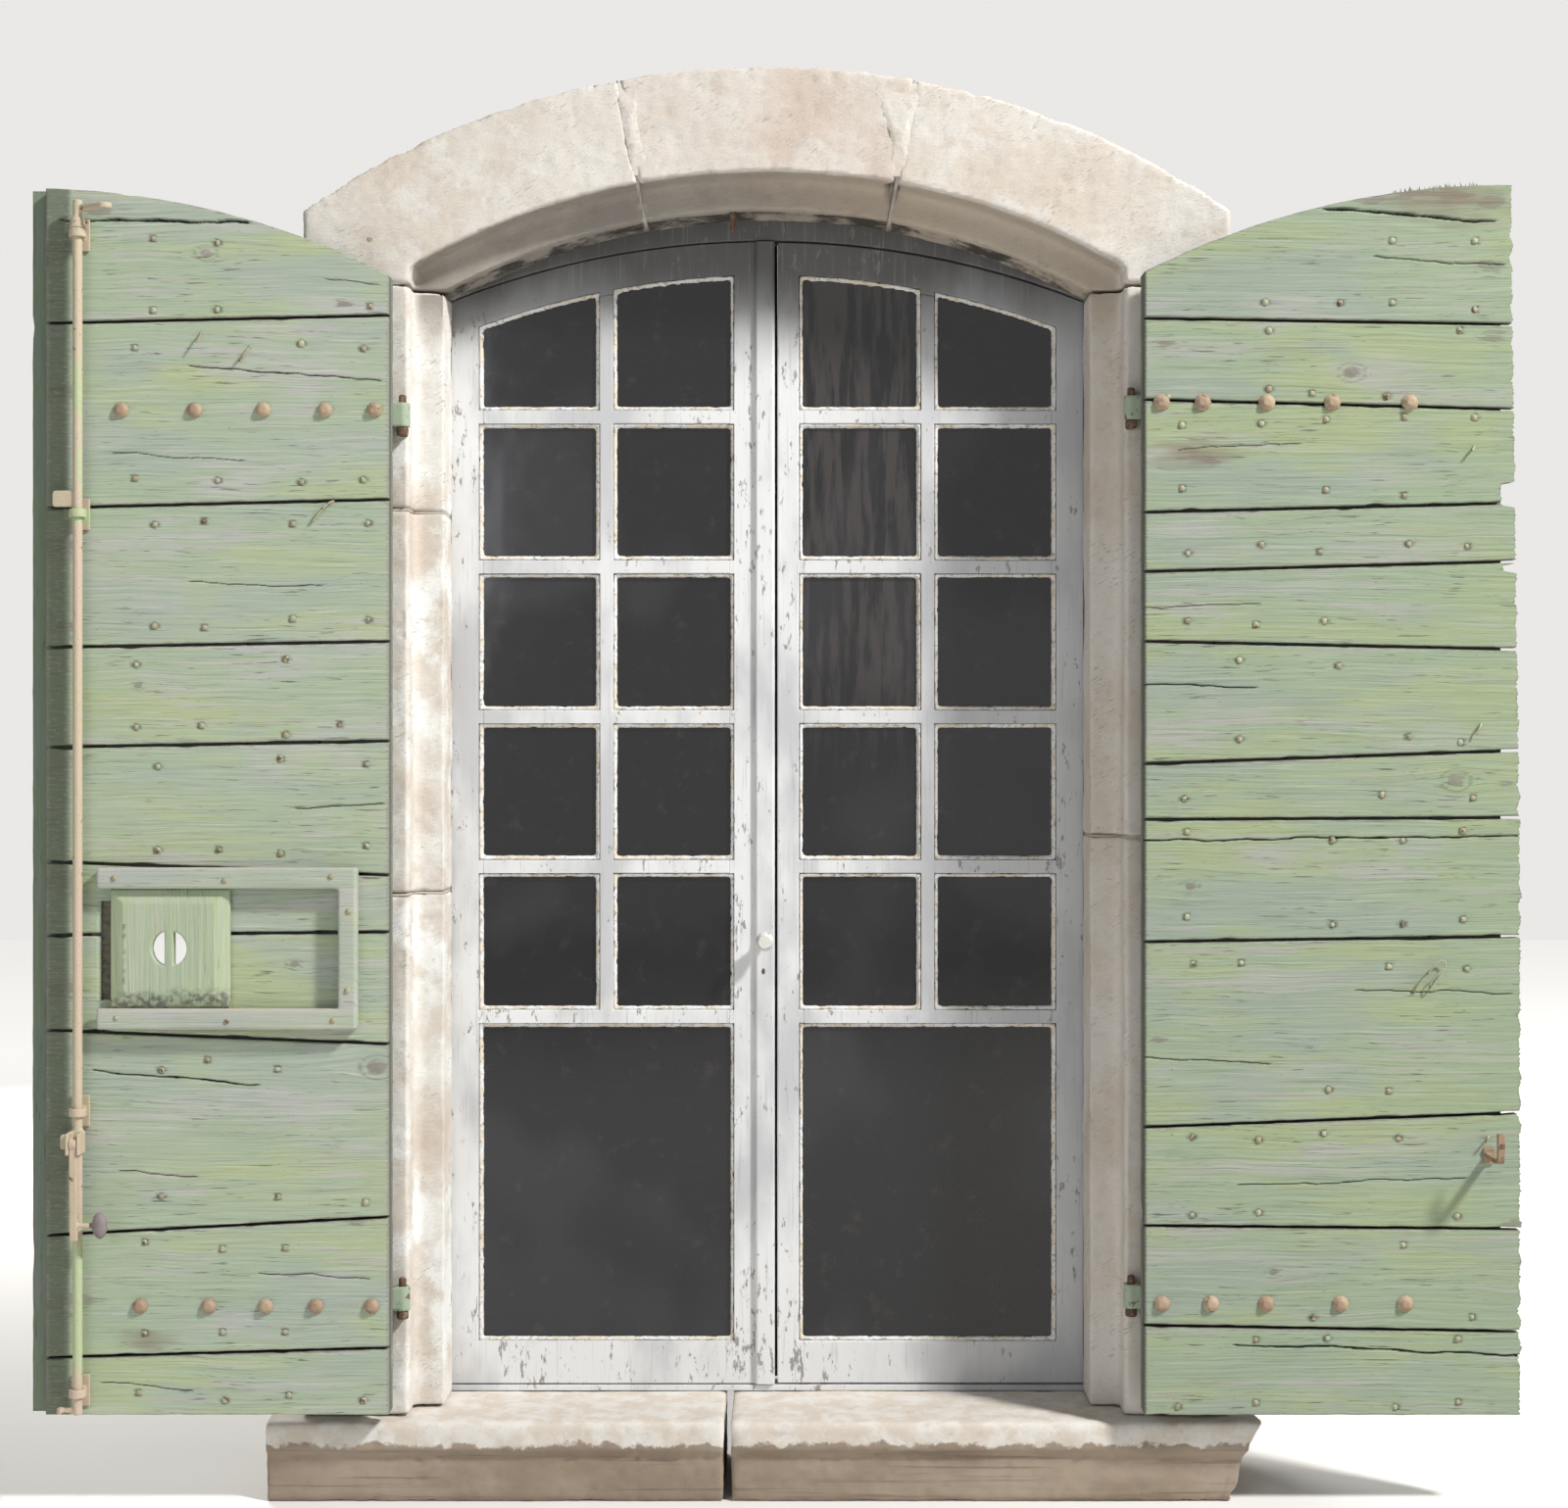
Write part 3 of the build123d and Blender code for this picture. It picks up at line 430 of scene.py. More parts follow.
def dark_glass(name):
    """Old glass before a dark room, hazy and dusty, with brown streaks in the upper panes."""
    f = Finish(name)
    place = f.place()
    wave = f.cloud(place, (9, 9, 5), 2, 0.5)
    dirt = f.cloud(place, 24, 6, 0.7)
    haze = f.cloud(place, (2.4, 2.4, 1.7), 2, shift=(1, 0, 3))
    streak = f.cloud(place, (60, 60, 7), 4, 0.6)
    colour = f.over(DARK_ROOM, f.step(haze, 0.47, 0.56), 0.7, GLASS_HAZE)
    colour = f.over(colour, f.step(dirt, 0.55, 0.75), 0.4, GLASS_DUST)
    x = f.axis(place, "X")
    brown = f.times(f.step(x, *STREAKS_START), f.step(x, *STREAKS_END))
    brown = f.times(brown, f.step(f.axis(place, "Z"), *STREAKED_ABOVE))
    brown = f.times(brown, f.step(streak, 0.42, 0.58))
    colour = f.over(colour, brown, 0.6, ROOM_BROWN)
    return f.done(colour, f.plus(f.times(dirt, 0.12), 0.03), f.bump(wave, 0.35, 2.5 * MM))


def old_iron(name, paint, second, rust_share, rough=0.7, zone=None):
    """Forged iron, painted in two tones, with rust where the paint has gone.

    zone(f, place) gives the mask and the colour of a part that is painted otherwise.
    """
    f = Finish(name)
    place = f.place()
    spots = f.cloud(place, 60, 5, 0.65)
    grit = f.cloud(place, 330, 4, 0.7)
    rust = f.over(DARK_RUST, f.step(grit, 0.40, 0.60), 1.0, RUST)
    coat = f.over(paint, f.step(f.cloud(place, (14, 14, 5), 3), 0.44, 0.58), 1.0, second)
    if zone:
        mask, other = zone(f, place)
        coat = f.over(coat, mask, 1.0, other)
    level = 0.36 + rust_share * 0.28
    colour = f.over(coat, f.step(spots, level, level - 0.05), 1.0, rust)
    colour = f.over(colour, f.step(grit, 0.56, 0.70), 0.35, DARK_RUST)
    normal = f.bump(grit, 0.4, 0.5 * MM)
    normal = f.bump(spots, 0.3, 1.0 * MM, normal)
    return f.done(colour, rough, normal)


def green_collar(f, place):
    """Where green paint has stayed on the rod: under its top lug, and in touches elsewhere."""
    z = f.axis(place, "Z")
    collar = f.times(f.step(z, *COLLAR_FOOT), f.step(z, *COLLAR_HEAD))
    touches = f.step(f.cloud(place, (6, 6, 3.1), 3, shift=(2, 0, 5)), 0.63, 0.68)
    foot = f.times(f.step(z, *ROD_FOOT_FROM), f.step(z, *ROD_FOOT_TO))
    return f.sum("MAXIMUM", collar, f.sum("MAXIMUM", touches, foot)), ROD_GREEN


def green_foot(f, place):
    """The catch's foot, painted with its leaf."""
    return f.step(f.axis(place, "Z"), *CATCH_FOOT), CATCH_GREEN


# The left leaf's boards, with a painted shadow of the rod past 0.515 m along them
GREEN_BOARDS = painted_boards("green_boards", rod_shadow_from=0.515)
# The outer boards are darkened all over with painted shade
LIP_BOARDS = painted_boards("outer_boards", deep=0.6)
BATTEN_PAINT = painted_boards("batten_paint", wood=(0.52, 0.44, 0.39), pale=0.35)
PANEL_PAINT = painted_boards("panel_paint", yellow_share=0.45, stained=(0.13, 0.135, 0.12))
RIGHT_BOARDS = painted_boards("right_boards", tone=(0.785, 0.805, 0.775))
# The rotten wood in its recess gets a little painted shade as well
ROTTEN_WOOD = painted_boards("rotten_wood", wood=(0.075, 0.062, 0.055), deep=0.2)
VOUSSOIR_STONE = dressed_stone("limewashed_stone", CREAM_STONE, 0.85)
WHITE_JAMB = dressed_stone("whitewashed_jamb", CREAM_STONE, 1.0, WHITEWASH)
# The right jamb is creamier and darker than the left: partly its own colour, partly painted shade
CREAM_JAMB = dressed_stone("cream_jamb", CREAM_STONE, 0.5)
KEY_STONE = dressed_stone("keystone_stone", PINK_STONE, 0.55)
SILL_STONE = sill_finish("sill_stone")
WINDOW_PAINT = window_paint("window_paint")
PUTTY = old_putty("old_putty")
GLASS = dark_glass("old_glass")
ROD_IRON = old_iron("rod_iron", (0.49, 0.42, 0.30), (0.52, 0.41, 0.32), 0.02,
                    zone=green_collar)
HANDLE_IRON = old_iron("handle_iron", (0.56, 0.44, 0.33), (0.50, 0.41, 0.30), 0.05)
KNOB_IRON = old_iron("knob_iron", (0.16, 0.135, 0.14), (0.23, 0.195, 0.20), 0.05)
BOLT_IRON = old_iron("bolt_iron", (0.32, 0.225, 0.155), (0.40, 0.31, 0.21), 0.08)
NAIL_IRON = old_iron("nail_iron", (0.38, 0.39, 0.26), (0.31, 0.27, 0.17), 0.30)
HINGE_IRON = old_iron("hinge_iron", (0.29, 0.38, 0.265), (0.35, 0.42, 0.31), 0.15)
PINTLE_IRON = old_iron("pintle_iron", (0.17, 0.12, 0.09), (0.24, 0.17, 0.12), 0.8, 0.85)
CATCH_IRON = old_iron("catch_iron", (0.30, 0.21, 0.13), (0.24, 0.17, 0.11), 0.25,
                      zone=green_foot)
WHITE_IRON = old_iron("white_iron", (0.55, 0.55, 0.56), (0.66, 0.65, 0.62), 0.08, 0.5)


# Pieces
def keep(bm, name, body, finish, slot, *instead_of):
    """Makes the finished mesh a piece of the object, on the body it moves with."""
    mesh = bpy.data.meshes.new(name)
    bm.to_mesh(mesh)
    bm.free()
    mesh.shade_smooth()
    mesh.materials.append(finish)
    made = bpy.data.objects.new(name, mesh)
    scene.collection.objects.link(made)
    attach(made, body)
    if instead_of:
        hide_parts(*instead_of)


def ripple(x, y, z=0.0):
    """Smooth noise around 0."""
    return noise.noise(Vector((x, y, z)))


def clamp(value):
    return min(1.0, max(0.0, value))


# Wooden boards. s runs along the grain and t across it, in mm on the board's face
FURROW = 0.60
FINE_FURROW = 0.28
BOARD_WAVE = 1.2
EDGE_WAVE = 0.7
CHIP = 3.0
ARRIS_ROUND = 3.2
EDGE_ROWS = (0.0, 0.5, 1.2, 2.2, 3.4)
END_COLUMNS = (0.0, 0.8, 2.0, 4.0)
CRACK_LIP = 1.5
FREE_END = 555.0


def grain_line(s, t, seed, knots):
    """Where a point lies across the grain, once the grain has bent round the knots."""
    line = t + 7.0 * ripple(s * 0.0022, t * 0.006, seed)
    line += 2.8 * ripple(s * 0.011, t * 0.02, seed + 5.0)
    for knot_s, knot_t, radius in knots:
        along = (s - knot_s) * 0.45
        across = t - knot_t
        line -= across * radius**2 / (along**2 + across**2 + radius**2)
    return line


def spread(low_margin, span, step):
    """Places from 0 to span: closer together at both ends, and a step apart between."""
    edge = low_margin[-1]
    count = max(2, round((span - 2 * edge) / step))
    inner = [edge + (span - 2 * edge) * k / count for k in range(1, count)]
    return [*low_margin, *inner, *(span - place for place in reversed(low_margin))]


def sink_crack(ts, sunk, crack, s, seed, edge_low, edge_high):
    """Opens one crack in a column of the board, its nearest row drawn to its line."""
    start, end, first, last, width, depth = crack
    if not start <= s <= end:
        return
    share = (s - start) / (end - start)
    centre = first + (last - first) * share
    centre += 5.0 * ripple(s * 0.013, first * 0.1, seed) + 1.7 * ripple(s * 0.05, first, seed)
    open_low = 1.0 if start <= 0 else 5.0 * share
    open_high = 1.0 if end > FREE_END else 5.0 * (1 - share)
    wide = width * min(1.0, open_low, open_high) * (1.0 + 0.9 * ripple(s * 0.03, first, 8.0))
    if wide < 0.1 or not edge_low + 5 < centre < edge_high - 5:
        return
    nearest = min(range(len(ts)), key=lambda k: abs(ts[k] - centre))
    ts[nearest] = centre
    sunk[nearest] = max(sunk[nearest], depth * min(1.0, wide / 1.2))
    for k in range(max(0, nearest - 6), min(len(ts), nearest + 7)):
        across = abs(ts[k] - centre)
        if across < wide / 2:
            sunk[k] = max(sunk[k], depth * (1 - (2 * across / wide) ** 4))
        elif across < wide / 2 + CRACK_LIP:
            sunk[k] = max(sunk[k], 0.1 * depth * (1 - (across - wide / 2) / CRACK_LIP))


def arris(gap, rounding):
    """How far the face has dropped at this distance from the board's edge."""
    if gap >= rounding:
        return 0.0
    return rounding - math.sqrt(max(0.0, rounding**2 - (rounding - gap) ** 2))


END_REACH = 120.0


def end_share(length, s):
    """How much of what its end has lost a board is short of at s."""
    return clamp(1 - (length - s) / END_REACH)


def within_reach(marks, s, reach):
    """The marks that come within reach, in their own sizes, of a place along the board."""
    return [mark for mark in marks if abs(mark[0] - s) < reach * mark[2]]


def weathering(s, t, line, dents, knots, spots, stains):
    """What the marks near a point do to it: rise and drop in mm, and how bare, dark, stained."""
    rise = drop = bare = dark = stained = 0.0
    for dent_s, dent_t, size in dents:
        away = math.hypot(s - dent_s, t - dent_t)
        if away < size * 2.6:
            dark = max(dark, 0.75 * clamp(1 - abs(away - size) / (size * 0.5)))
            drop += 0.5 * clamp(1 - away / (size * 2.2))
            bare = max(bare, 0.8 * (1 - away / (size * 2.6)))
    for knot_s, knot_t, radius in knots:
        away = math.hypot((s - knot_s) * 0.7, t - knot_t) / radius
        if away < 1.7:
            rise += 0.35 * math.sin(away * 9.0) * (1.7 - away)
            bare = max(bare, 0.9 * (1.3 - away))
            dark = max(dark, 0.4 * clamp(1 - abs(away - 1.0) / 0.1))
    for spot_s, spot_t, reach in spots:
        away = math.hypot((s - spot_s) * 0.35, t - spot_t) / reach
        frayed = 0.9 * ripple(s * 0.02, line * 0.12, 3.0) + 0.5 * ripple(s * 0.06, line * 0.4)
        bare = max(bare, 0.85 * clamp(1.35 - away + frayed))
    for stain_s, stain_t, reach in stains:
        away = math.hypot((s - stain_s) * 0.4, t - stain_t) / reach
        stained = max(stained, 0.8 * clamp(1 - away - 0.5 * ripple(s * 0.02, line * 0.08)))
    return rise, drop, bare, dark, stained


def cut_out(bm, place, notch):
    """Takes the faces within a notch out of a board: from, to, bottom and top."""
    start, end, bottom, top = notch
    inside = []
    for face in bm.faces:
        s, t = place.where(face.calc_center_median())
        if start < s < end and bottom < t < top:
            inside.append(face)
    bmesh.ops.delete(bm, geom=inside, context="FACES")


def plank(place, length, low, high, thickness, seed, head=None, cracks=(), knots=(), dents=(),
          stains=(), spots=(), notch=None, row=1.5, column=6.0, both_faces=False):
    """A weathered board.

    place(s, t, d) is the point at s along the grain, t across it and d out of the face. low(s)
    and high(s) are its two long edges, and head(t) is how far its far end is cut back. notch is
    the part that is cut out of it, from and to along the grain and then across it.
    """
    bm = bmesh.new()
    flow = bm.verts.layers.float_vector.new("flow")
    cavity = bm.verts.layers.float.new("cavity")
    bare = bm.verts.layers.float.new("bare")
    stain = bm.verts.layers.float.new("stain")
    middle = length / 2
    width = high(middle) - low(middle)
    shares = [t / width for t in spread(EDGE_ROWS, width, row)]
    columns = spread(END_COLUMNS, length, column)
    if notch:
        for side in notch[:2]:
            columns[min(range(len(columns)), key=lambda k: abs(columns[k] - side))] = side
    rows_to = len(shares) - 1
    columns_to = len(columns) - 1
    bmesh.ops.create_grid(bm, x_segments=columns_to, y_segments=rows_to, size=1.0)
    grid = {}
    for vert in bm.verts:
        i = round((vert.co.x + 1) / 2 * columns_to)
        grid[i, round((vert.co.y + 1) / 2 * rows_to)] = vert
    for i, s in enumerate(columns):
        edge_low = low(s) + EDGE_WAVE * ripple(s * 0.03, seed, 1.0)
        edge_high = high(s) + EDGE_WAVE * ripple(s * 0.03, seed, 2.0)
        edge_low += CHIP * max(0.0, ripple(s * 0.02, seed * 3.7, 3.0) - 0.35) * 2
        edge_high -= CHIP * max(0.0, ripple(s * 0.02, seed * 3.7, 4.0) - 0.35) * 2
        ts = [edge_low + (edge_high - edge_low) * share for share in shares]
        sunk = [0.0] * len(ts)
        for crack in cracks:
            sink_crack(ts, sunk, crack, s, seed, edge_low, edge_high)
        marks = [within_reach(kind, s, reach)
                 for kind, reach in ((dents, 3), (knots, 3), (spots, 4), (stains, 4))]
        for j, t in enumerate(ts):
            line = grain_line(s, t, seed, knots)
            height = FURROW * ripple(s * 0.0045, line * 0.21, seed)
            height -= FINE_FURROW * abs(ripple(s * 0.012, line * 0.34, seed + 9.0))
            height += BOARD_WAVE * (ripple(s * 0.002, t * 0.004, seed + 20.0) - 0.5)
            side_gap = min(t - edge_low, edge_high - t)
            end_gap = min(s, length - s)
            rounding = ARRIS_ROUND * (0.7 + 0.5 * ripple(s * 0.02, t * 0.02, seed + 31.0))
            height -= arris(side_gap, rounding) + arris(end_gap, rounding) + sunk[j]
            rise, drop, bared, darkened, stained = weathering(s, t, line, *marks)
            worn = max(0.75 - 0.09 * side_gap, 0.85 - end_gap / 11.0, bared)
            # Deep cracks are darkened: painted shade in the cracks
            dark = min(1.0, sunk[j] / 2.2) if sunk[j] > 0.4 else 0.0
            at = s - head(t) * end_share(length, s) if head else s
            vert = grid[i, j]
            vert.co = place(at, t, height + rise - drop)
            vert[flow] = (s * MM, line * MM, seed)
            vert[cavity] = max(dark, darkened)
            vert[bare] = min(1.0, worn)
            vert[stain] = stained
    if notch:
        cut_out(bm, place, notch)
    inward = place(0, 0, -1.0) - place(0, 0, 0)
    inward.normalize()
    close_board(bm, inward, place(0, 0, -thickness).dot(inward), seed, both_faces)
    return bm


def close_sheet(bm, set_back):
    """Makes a sheet solid: sides all round, set back, and a flat back between them."""
    made = bmesh.ops.extrude_edge_only(bm, edges=[e for e in bm.edges if e.is_boundary])
    far_rims = [g for g in made["geom"] if isinstance(g, bmesh.types.BMEdge)]
    for vert in {v for edge in far_rims for v in edge.verts}:
        set_back(vert)
    bmesh.ops.holes_fill(bm, edges=far_rims, sides=0)
    bmesh.ops.recalc_face_normals(bm, faces=bm.faces)


def close_board(bm, inward, back, seed, both_faces):
    """Gives the board its edges and its other face."""
    if both_faces:
        rims = [edge for edge in bm.edges if edge.is_boundary]
        copied = bmesh.ops.duplicate(bm, geom=bm.verts[:] + bm.edges[:] + bm.faces[:])
        for vert in (g for g in copied["geom"] if isinstance(g, bmesh.types.BMVert)):
            s, line, _ = vert[bm.verts.layers.float_vector["flow"]] / MM
            relief = FURROW * (ripple(s * 0.0045, line * 0.21, seed + 60.0) - 1.0)
            vert.co += inward * (back + relief * MM - vert.co.dot(inward))
        far_rims = [copied["edge_map"][edge] for edge in rims]
        bmesh.ops.bridge_loops(bm, edges=rims + far_rims)
        bmesh.ops.recalc_face_normals(bm, faces=bm.faces)
        return
    cavity = bm.verts.layers.float["cavity"]
    bare = bm.verts.layers.float["bare"]

    def set_back(vert):
        vert.co += inward * (back - vert.co.dot(inward))
        # The sides and back are darkened: painted shade in the gaps between boards
        vert[cavity] = max(vert[cavity], 0.6)
        vert[bare] = 1.0

    close_sheet(bm, set_back)


# The leaves
HANG = 604.0
LEAF_LOW = 158.0
LEAF_EDGE = 14.0
HEAD_RADIUS = 1300.0
LAYER = 24.0
LEAF_WIDTH = 588.0
INNER_WIDTH = {-1: 560.0, 1: LEAF_WIDTH}
INNER_FACE = {-1: -72.9, 1: -73.9}
CROWN = {-1: 2005.0, 1: 2010.0}
LEAF = {-1: "left", 1: "right"}


class OnLeaf:
    """Turns a place on a leaf into a point: s from its hinge edge, t above its foot."""

    def __init__(self, side, face_y, toward=-1, upright=False):
        self.side = side
        self.face_y = face_y
        self.toward = toward
        self.upright = upright

    def __call__(self, s, t, d=0.0):
        if self.upright:
            s, t = t, s
        x = self.side * (HANG + LEAF_EDGE + s)
        return Vector((x, self.face_y + self.toward * d, LEAF_LOW + t)) * MM

    def where(self, point):
        s = self.side * point.x / MM - HANG - LEAF_EDGE
        t = point.z / MM - LEAF_LOW
        return (t, s) if self.upright else (s, t)


def on_board(side, px, py):
    """Place on a leaf's inner face that shows at a pixel of the photograph."""
    return OnLeaf(side, 0).where(seen_at(px, py, INNER_FACE[side] * MM))


def head_height(side, s):
    """Height of the leaf's curved head above its foot."""
    from_crown = HANG - LEAF_EDGE - s
    return CROWN[side] - HEAD_RADIUS + math.sqrt(HEAD_RADIUS**2 - from_crown**2)


def board_edges(node, side):
    """Length of an inner board and its two edges, read from the frame."""
    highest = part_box(node)[1]
    where = OnLeaf(side, 0).where
    back = [where(v.co) for v in nodes[node].data.vertices
            if abs(v.co.y - highest.y) < 0.1 * MM]
    length = max(s for s, _ in back)
    near = [t for s, t in back if s < 0.5]
    far = [t for s, t in back if s > length - 0.5]
    return length, (min(near), min(far)), (max(near), max(far))


# Cracks as they show in the photograph: from, to, opening and depth in mm
CRACKS = {
    -1: (
        ((304, 227), (60, 224), 3.6, 9.0), ((390, 388), (190, 374), 1.8, 5.0),
        ((265, 1110), (92, 1093), 2.4, 7.0), ((389, 290), (330, 284), 1.0, 3.0),
        ((200, 1202), (120, 1196), 1.0, 3.0), ((395, 820), (300, 826), 1.0, 3.0),
        ((250, 470), (110, 462), 0.9, 2.5), ((380, 1305), (260, 1300), 1.0, 3.0),
        ((330, 600), (190, 594), 0.9, 2.5), ((200, 1420), (100, 1412), 1.0, 3.0),
    ),
    1: (
        ((1316, 211), (1536, 226), 3.4, 9.0), ((1165, 699), (1282, 702), 2.4, 6.0),
        ((1165, 858), (1552, 854), 2.2, 7.0), ((1255, 1373), (1560, 1385), 2.6, 8.0),
        ((1400, 262), (1545, 270), 1.2, 3.0), ((1200, 460), (1330, 452), 0.9, 2.5),
        ((1380, 1010), (1545, 1016), 1.0, 3.0), ((1165, 1080), (1300, 1086), 1.0, 3.0),
        ((1260, 1210), (1500, 1204), 1.1, 3.0), ((1165, 620), (1290, 616), 0.9, 2.5),
    ),
}
# Knots, stains and worn spots: the pixel that they show at and their size in mm
KNOTS = {
    -1: (((385, 1090), 20), ((210, 258), 13), ((300, 985), 9), ((140, 700), 8)),
    1: (((1380, 380), 16), ((1487, 797), 18), ((1215, 905), 10), ((1300, 1300), 9)),
}
STAINS = {-1: (((150, 1370), 24),), 1: (((1220, 463), 34), ((1480, 200), 60))}
WORN_SPOTS = {
    -1: (((66, 250), 20), ((60, 400), 16), ((64, 560), 22), ((58, 640), 14), ((62, 780), 20),
         ((60, 900), 24), ((62, 1010), 20), ((62, 1150), 16), ((66, 1195), 18),
         ((62, 1330), 22), ((66, 1420), 14), ((100, 214), 10), ((360, 1250), 6),
         ((350, 309), 7)),
    1: (((1340, 208), 9), ((1395, 200), 16), ((1440, 197), 19), ((1485, 199), 19),
        ((1528, 204), 18), ((1530, 270), 14), ((1190, 350), 9), ((1225, 468), 12),
        ((1530, 345), 14), ((1180, 1060), 8), ((1535, 800), 10), ((1545, 1250), 12)),
}
NAIL_RADIUS = 5.4
NAIL_CHANCE = 0.72
WIDE_BOARD = 130.0


def nail_places(side, gaps):
    """Where the small nails sit: a pair to each outer board, near the inner boards' edges."""
    rng = random.Random(40 + side)
    width = INNER_WIDTH[side]
    places = []
    for low, high in gaps:
        tall = high - low
        for k in range(5):
            s = width * (k + 0.5) / 5 + rng.uniform(-26, 26)
            for share in ((0.14, 0.86) if tall > WIDE_BOARD else (0.3,)):
                if rng.random() < NAIL_CHANCE:
                    places.append((s, low + tall * share + rng.uniform(-9, 9)))
    return places


def leaf_marks(side, low, high, length, nails):
    """The cracks, knots, stains and nail dents that fall on one board."""
    def on_it(spot):
        return low(spot[0]) + 4 < spot[1] < high(spot[0]) - 4

    cracks = []
    for start, end, width, depth in CRACKS[side]:
        (s0, t0), (s1, t1) = on_board(side, *start), on_board(side, *end)
        if on_it(((s0 + s1) / 2, (t0 + t1) / 2)):
            cracks.append((max(s0, -1.0), min(s1, length), t0, t1, width, depth))
    knots = [(*on_board(side, *at), size) for at, size in KNOTS[side]]
    stains = [(*on_board(side, *at), size) for at, size in STAINS[side]]
    return {
        "cracks": cracks,
        "knots": [k for k in knots if on_it(k)],
        "stains": [k for k in stains if on_it(k)],
        "spots": [(*on_board(side, *at), size) for at, size in WORN_SPOTS[side]],
        "dents": [(*spot, NAIL_RADIUS) for spot in nails if on_it(spot)],
    }


# The peep opening: from and to along the boards, and its foot and head, in mm
PEEP = (292.0, 470.0, 678.0, 840.0)
# Where the right leaf's free end has lost more: height, half the height of the loss and its
# depth, in mm
END_NOTCHES = ((1504.0, 21.0, 22.0), (1384.0, 8.0, 20.0))
BOARD_COUNT = {-1: 10, 1: 12}
BOARD_PAINT = {-1: GREEN_BOARDS, 1: RIGHT_BOARDS}


def broken_end(t):
    """What the right leaf's boards have lost of their free ends, at a height on the leaf."""
    lost = 14.0 * clamp((t - 900) / 1000) + 3.0
    for at, reach, deep in END_NOTCHES:
        lost += deep * clamp((reach - abs(t - at)) / 3.0)
    return lost + 5.0 * ripple(t * 0.05, 7.0) + 3.0 * ripple(t * 0.25, 17.0)


def inner_boards(side, nails):
    """The level boards that show when the leaf is open."""
    leaf = LEAF[side]
    place = OnLeaf(side, INNER_FACE[side])
    for number in range(1, BOARD_COUNT[side] + 1):
        node = f"{leaf}_board_{number:02d}"
        length, foot, crown = board_edges(node, side)
        last = number == BOARD_COUNT[side]

        def low(s):
            return foot[0] + (foot[1] - foot[0]) * s / length

        def high(s):
            if last:
                return head_height(side, s)
            return crown[0] + (crown[1] - crown[0]) * s / length

        peeps = PEEP if side < 0 and number in (4, 5) else None
        board = plank(
            place, length, low, high, LAYER, 3.0 * number + 40 * (side > 0),
            head=broken_end if side > 0 else None, notch=peeps,
            **leaf_marks(side, low, high, length, nails),
        )
        keep(board, f"worn_{node}", f"{leaf}_shutter", BOARD_PAINT[side], "green_paint", node)


OUTER_COUNT = 5
OUTER_GAP = 3.0
OUTER_THICKNESS = {-1: 24.0, 1: 25.0}
OUTER_FACE = -24.9


def outer_boards(side):
    """The upright boards, which face away from the window when the leaf is closed."""
    leaf = LEAF[side]
    pitch = (LEAF_WIDTH + OUTER_GAP) / OUTER_COUNT
    joined = bmesh.new()
    for number in range(OUTER_COUNT):
        start = number * pitch
        end = start + pitch - OUTER_GAP
        place = OnLeaf(side, OUTER_FACE, 1, upright=True)
        top = max(head_height(side, start), head_height(side, end))
        spans = [(0.0, top)]
        notch = None
        if side < 0 and number == 2:
            notch = (PEEP[2], PEEP[3], PEEP[0], PEEP[1])
        if side < 0 and number == 3:
            spans = [(0.0, PEEP[2]), (PEEP[3], top)]
        for span_low, span_high in spans:
            def place_span(s, t, d=0.0, span_low=span_low, place=place):
                return place(span_low + s, t, d)

            place_span.where = lambda p, place=place, z=span_low: (
                place.where(p)[0] - z, place.where(p)[1])

            def head(t, top=top, whole=span_high == top):
                return top - head_height(side, t) if whole else 0.0

            board = plank(
                place_span, span_high - span_low, lambda s, w=start: w, lambda s, w=end: w,
                OUTER_THICKNESS[side], 90.0 + 7 * number + 50 * (side > 0), head=head,
                notch=notch, row=4.0, column=20.0, both_faces=True,
            )
            mesh = bpy.data.meshes.new("board")
            board.to_mesh(mesh)
            board.free()
            joined.from_mesh(mesh)
            bpy.data.meshes.remove(mesh)
    keep(joined, f"worn_{leaf}_outer_boards", f"{leaf}_shutter", LIP_BOARDS, "green_paint",
         f"{leaf}_outer_boards")


def nail_heads(name, side, nails, proud=0.0):
    """Hammered nail heads, each a low dome of a few facets, a little askew."""
    rng = random.Random(70 + side)
    heads = bmesh.new()
    place = OnLeaf(side, INNER_FACE[side] - proud)
    for s, t in nails:
        if side > 0:
            s -= broken_end(t) * end_share(LEAF_WIDTH, s)
        size = NAIL_RADIUS * rng.uniform(0.75, 1.1) * MM
        made = bmesh.ops.create_uvsphere(heads, u_segments=8, v_segments=5, radius=size)
        tilt = Matrix.Rotation(rng.uniform(-0.25, 0.25), 4, "X")
        tilt @= Matrix.Rotation(rng.uniform(-0.25, 0.25), 4, "Z")
        flat = Matrix.Diagonal((1.0, 0.55, rng.uniform(0.85, 1.1), 1.0))
        spot = Matrix.Translation(place(s, t, -0.8))
        bmesh.ops.transform(heads, matrix=spot @ tilt @ flat, verts=made["verts"])
        for vert in made["verts"]:
            vert.co += Vector((ripple(*vert.co * 400), 0, ripple(*vert.co * 380))) * 0.5 * MM
    keep(heads, name, f"{LEAF[side]}_shutter", NAIL_IRON, "rusty_iron")


